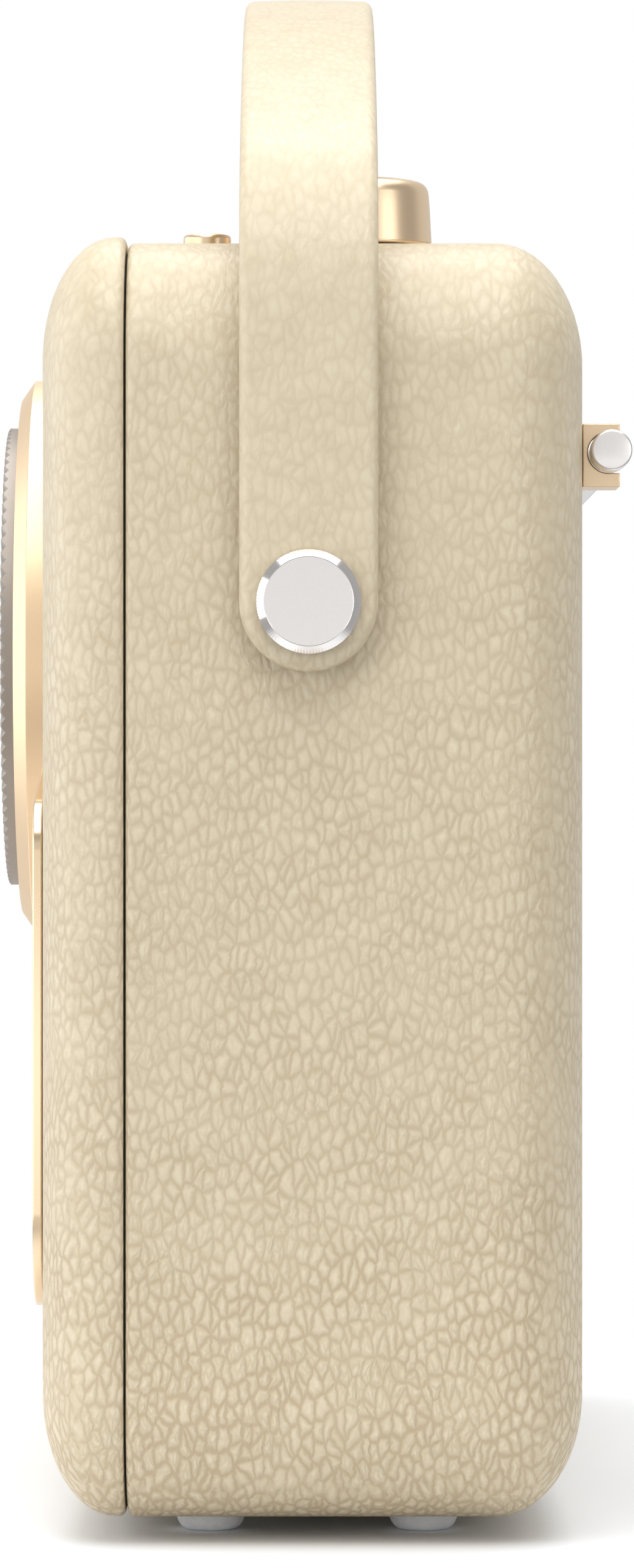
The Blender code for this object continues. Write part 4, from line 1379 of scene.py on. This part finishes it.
def build_door():
    """The battery cover, with a thumb notch over four grip grooves."""
    door = block("battery_hatch", DOOR_LOW, DOOR_HIGH, soften=0.6)
    thumb_x = (DOOR_LOW.x + DOOR_HIGH.x) / 2
    notch_low = (thumb_x - 7, 43.8, DOOR_HIGH.z - 5.5)
    notch = block("notch", notch_low, (thumb_x + 7, 50, DOOR_HIGH.z - 2.5), soften=0.4)
    grooves = [
        block("groove", (thumb_x - 9, 44.25, z - 0.3), (thumb_x + 9, 50, z + 0.3))
        for z in (DOOR_HIGH.z - 8 - 1.8 * k for k in range(4))
    ]
    cut(door, notch, *grooves)
    finish_piece(door, "cream_plastic", "cream_plastic", "battery_door")


def build_sockets():
    power = middle_mm("power_socket")
    phones = middle_mm("headphone_socket")
    panel = block("socket_plate", PANEL_LOW, PANEL_HIGH, soften=0.4)
    cut(
        panel,
        rod("power_hole", (power.x, 35, power.z), BACK, 20, 5.3, steps=48),
        rod("phones_hole", (phones.x, 35, phones.z), BACK, 20, 3.5, steps=48),
    )
    finish_piece(panel, "black_plastic", "black_plastic", "socket_panel")
    barrel = [(0, 42.6), (0.7, 42.5), (1.0, 42.2), (1.0, 33), (2.8, 33), (2.8, 43.6)]
    barrel += [(3.0, 43.8), (4.8, 43.8), (5.0, 43.6), (5.0, 31), (0, 31)]
    obj = turned("power_inlet", barrel, (power.x, 0, power.z), BACK, steps=48)
    finish_piece(obj, "black_plastic", "black_plastic", "power_socket")
    jack = [(0, 31), (1.8, 31), (1.8, 43.6), (2.0, 43.8), (3.0, 43.8), (3.2, 43.6), (3.2, 29), (0, 29)]
    obj = turned("phones_jack", jack, (phones.x, 0, phones.z), BACK, steps=48)
    finish_piece(obj, "steel", "plain_steel", "headphone_socket")


class RADIO_OT_back(bpy.types.Operator):
    """Builds the battery hatch, the sockets, the screws and the feet"""

    bl_idname = "radio.back"
    bl_label = "Back and Feet"

    def execute(self, context):
        build_door()
        build_sockets()
        build_screws()
        build_feet()
        return {"FINISHED"}


# Inside


INNER_FINISHES = {
    "rubber": ("seam_gasket",),
    "fibreboard": ("baffle_board",),
    "circuit_board": ("main_board", "control_board"),
    "steel": (
        *("left_speaker_basket", "right_speaker_basket", "left_speaker_magnet", "right_speaker_magnet"),
        *("volume_shaft", "tuning_shaft", "volume_potentiometer", "tuning_encoder"),
        *("tuner_can", "aerial_pin"),
    ),
    "speaker_paper": ("left_speaker_cone", "right_speaker_cone"),
    "battery_wrap": ("battery_pack",),
    "black_plastic": ("battery_box",),
    "chrome": ("aerial_rod",),
}


class RADIO_OT_inside(bpy.types.Operator):
    """Gives the frame's own inner parts their finishes"""

    bl_idname = "radio.inside"
    bl_label = "Inner Parts"

    def execute(self, context):
        for finish, nodes in INNER_FINISHES.items():
            for node in nodes:
                obj = frame["nodes"][node]
                if not obj.material_slots:
                    obj.data.materials.append(None)
                for slot in obj.material_slots:
                    slot.material = FINISHES[finish]
        return {"FINISHED"}


# Stage


def add_soft_box(name, location, target, width, height, power):
    light = bpy.data.lights.new(name, "AREA")
    light.shape = "RECTANGLE"
    light.size = width
    light.size_y = height
    light.energy = power
    obj = bpy.data.objects.new(name, light)
    bpy.context.scene.collection.objects.link(obj)
    obj.location = location
    obj.rotation_euler = (Vector(target) - Vector(location)).to_track_quat("-Z", "Y").to_euler()
    obj.visible_camera = False


def light_the_room(strength):
    """A soft white room, bright on the camera's side and dimmer round it, so that metal shows dark edges."""
    world = bpy.data.worlds.new("room")
    bpy.context.scene.world = world
    world.use_nodes = True
    tree = world.node_tree
    direction = add_node(tree, "ShaderNodeTexCoord").outputs["Generated"]
    x, _, z = separated(tree, direction)
    level_band = remap(tree, maths(tree, "ABSOLUTE", z), 0.25, 0.50, 1.0, 0.0)
    near = maths(tree, "MULTIPLY", remap(tree, x, 0.42, 0.66), level_band)
    far = remap(tree, x, -0.45, -0.05, 0.30, 0.0)
    share = maths(tree, "ADD", maths(tree, "MULTIPLY_ADD", near, 0.36, 0.42), far)
    share = maths(tree, "MULTIPLY", share, strength)
    seen = tree.nodes.new("ShaderNodeLightPath").outputs["Is Camera Ray"]
    level = add_node(tree, "ShaderNodeMix", {0: seen, 2: share, 3: 1.0}, data_type="FLOAT").outputs[0]
    tree.links.new(level, tree.nodes["Background"].inputs["Strength"])
    tree.nodes["Background"].inputs["Color"].default_value = (1, 1, 1, 1)
    sun = bpy.data.lights.new("ceiling", "SUN")
    sun.energy = 1.15
    sun.angle = math.radians(75)
    lamp = bpy.data.objects.new("ceiling", sun)
    bpy.context.scene.collection.objects.link(lamp)


class RADIO_OT_stage(bpy.types.Operator):
    """Sets the radio on a plain pale floor, in soft light, with the camera at its side"""

    bl_idname = "radio.stage"
    bl_label = "Stage"

    def execute(self, context):
        stage = context.scene.radio_stage
        context.scene.view_settings.view_transform = "Standard"
        material, tree, shader = new_material("table_top", Roughness=0.9, Specular_IOR_Level=0.0)
        place = object_vector(tree)
        drift = noise(tree, place, 3.0).outputs["Fac"]
        tone = blend_colours(tree, drift, rgba(stage.floor), rgba(stage.floor, 1.02))
        tree.links.new(tone, shader.inputs["Base Color"])
        tree.links.new(remap(tree, span(tree, place), 0.14, 0.28, 1.0, 0.0), shader.inputs["Alpha"])
        shape = bmesh.new()
        bmesh.ops.create_circle(shape, cap_ends=True, segments=64, radius=900)
        floor = to_object("table_top", shape)
        if floor.data.polygons[0].normal.z < 0:
            floor.data.flip_normals()
        floor.data.materials.append(material)
        light_the_room(stage.around)
        add_soft_box("overhead_box", (0.1, 0.0, 1.6), (0.1, 0.0, 0.1), 1.5, 1.1, stage.overhead)
        add_soft_box("front_box", (0.20, -0.50, 0.20), (0.15, 0.0, 0.15), 1.3, 0.45, 2.5)
        add_soft_box("side_strip", (1.05, -0.05, 1.2), (0.14, 0.0, 0.19), 1.0, 0.30, 1.8)
        add_soft_box("top_box", (0.50, 0.0, 0.62), (0.15, 0.0, 0.22), 0.5, 0.28, 0.8)
        add_soft_box("back_strip", (-0.55, 0.0, 1.35), (0.10, 0.0, 0.20), 1.0, 0.14, 2.4)
        add_soft_box("low_box", (0.62, 0.0, 0.05), (0.1, 0.0, 0.0), 0.5, 0.08, 0.10)
        add_soft_box("right_box", (0.95, 0.75, 0.27), (0.1, 0.0, 0.17), 0.55, 0.5, 1.3)

        camera = bpy.data.cameras.new("side_camera")
        camera.lens = CAMERA_LENS
        camera.sensor_width = 36.0
        camera.shift_x = 0.00485
        camera.clip_start = 0.01
        viewer = bpy.data.objects.new("side_camera", camera)
        context.scene.collection.objects.link(viewer)
        viewer.location = CAMERA_PLACE
        viewer.rotation_euler = (math.pi / 2, 0, math.pi / 2)
        context.scene.camera = viewer
        return {"FINISHED"}


class RADIO_PT_panel(bpy.types.Panel):
    """Lists the radio's building steps in the sidebar"""

    bl_label = "Tabletop Radio"
    bl_idname = "RADIO_PT_panel"
    bl_space_type = "VIEW_3D"
    bl_region_type = "UI"
    bl_category = "Radio"

    def draw(self, context):
        for step in STEPS:
            self.layout.operator(step.bl_idname)


STEPS = (
    RADIO_OT_stage,
    RADIO_OT_cabinet,
    RADIO_OT_handle,
    RADIO_OT_dial,
    RADIO_OT_grille,
    RADIO_OT_controls,
    RADIO_OT_aerial,
    RADIO_OT_back,
    RADIO_OT_inside,
)
SETTINGS = {
    "radio_leather": RadioLeatherSettings,
    "radio_metal": RadioMetalSettings,
    "radio_dial": RadioDialSettings,
    "radio_grille": RadioGrilleSettings,
    "radio_stage": RadioStageSettings,
}


def register():
    for name, settings in SETTINGS.items():
        bpy.utils.register_class(settings)
        setattr(bpy.types.Scene, name, PointerProperty(type=settings))
    for step in STEPS:
        bpy.utils.register_class(step)
    bpy.utils.register_class(RADIO_PT_panel)


def unregister():
    bpy.utils.unregister_class(RADIO_PT_panel)
    for step in reversed(STEPS):
        bpy.utils.unregister_class(step)
    for name, settings in SETTINGS.items():
        delattr(bpy.types.Scene, name)
        bpy.utils.unregister_class(settings)


def main():
    register()
    make_finishes()
    bpy.ops.radio.stage()
    bpy.ops.radio.cabinet()
    bpy.ops.radio.handle()
    bpy.ops.radio.dial()
    bpy.ops.radio.grille()
    bpy.ops.radio.controls()
    bpy.ops.radio.aerial()
    bpy.ops.radio.back()
    bpy.ops.radio.inside()


if __name__ == "__main__":
    main()
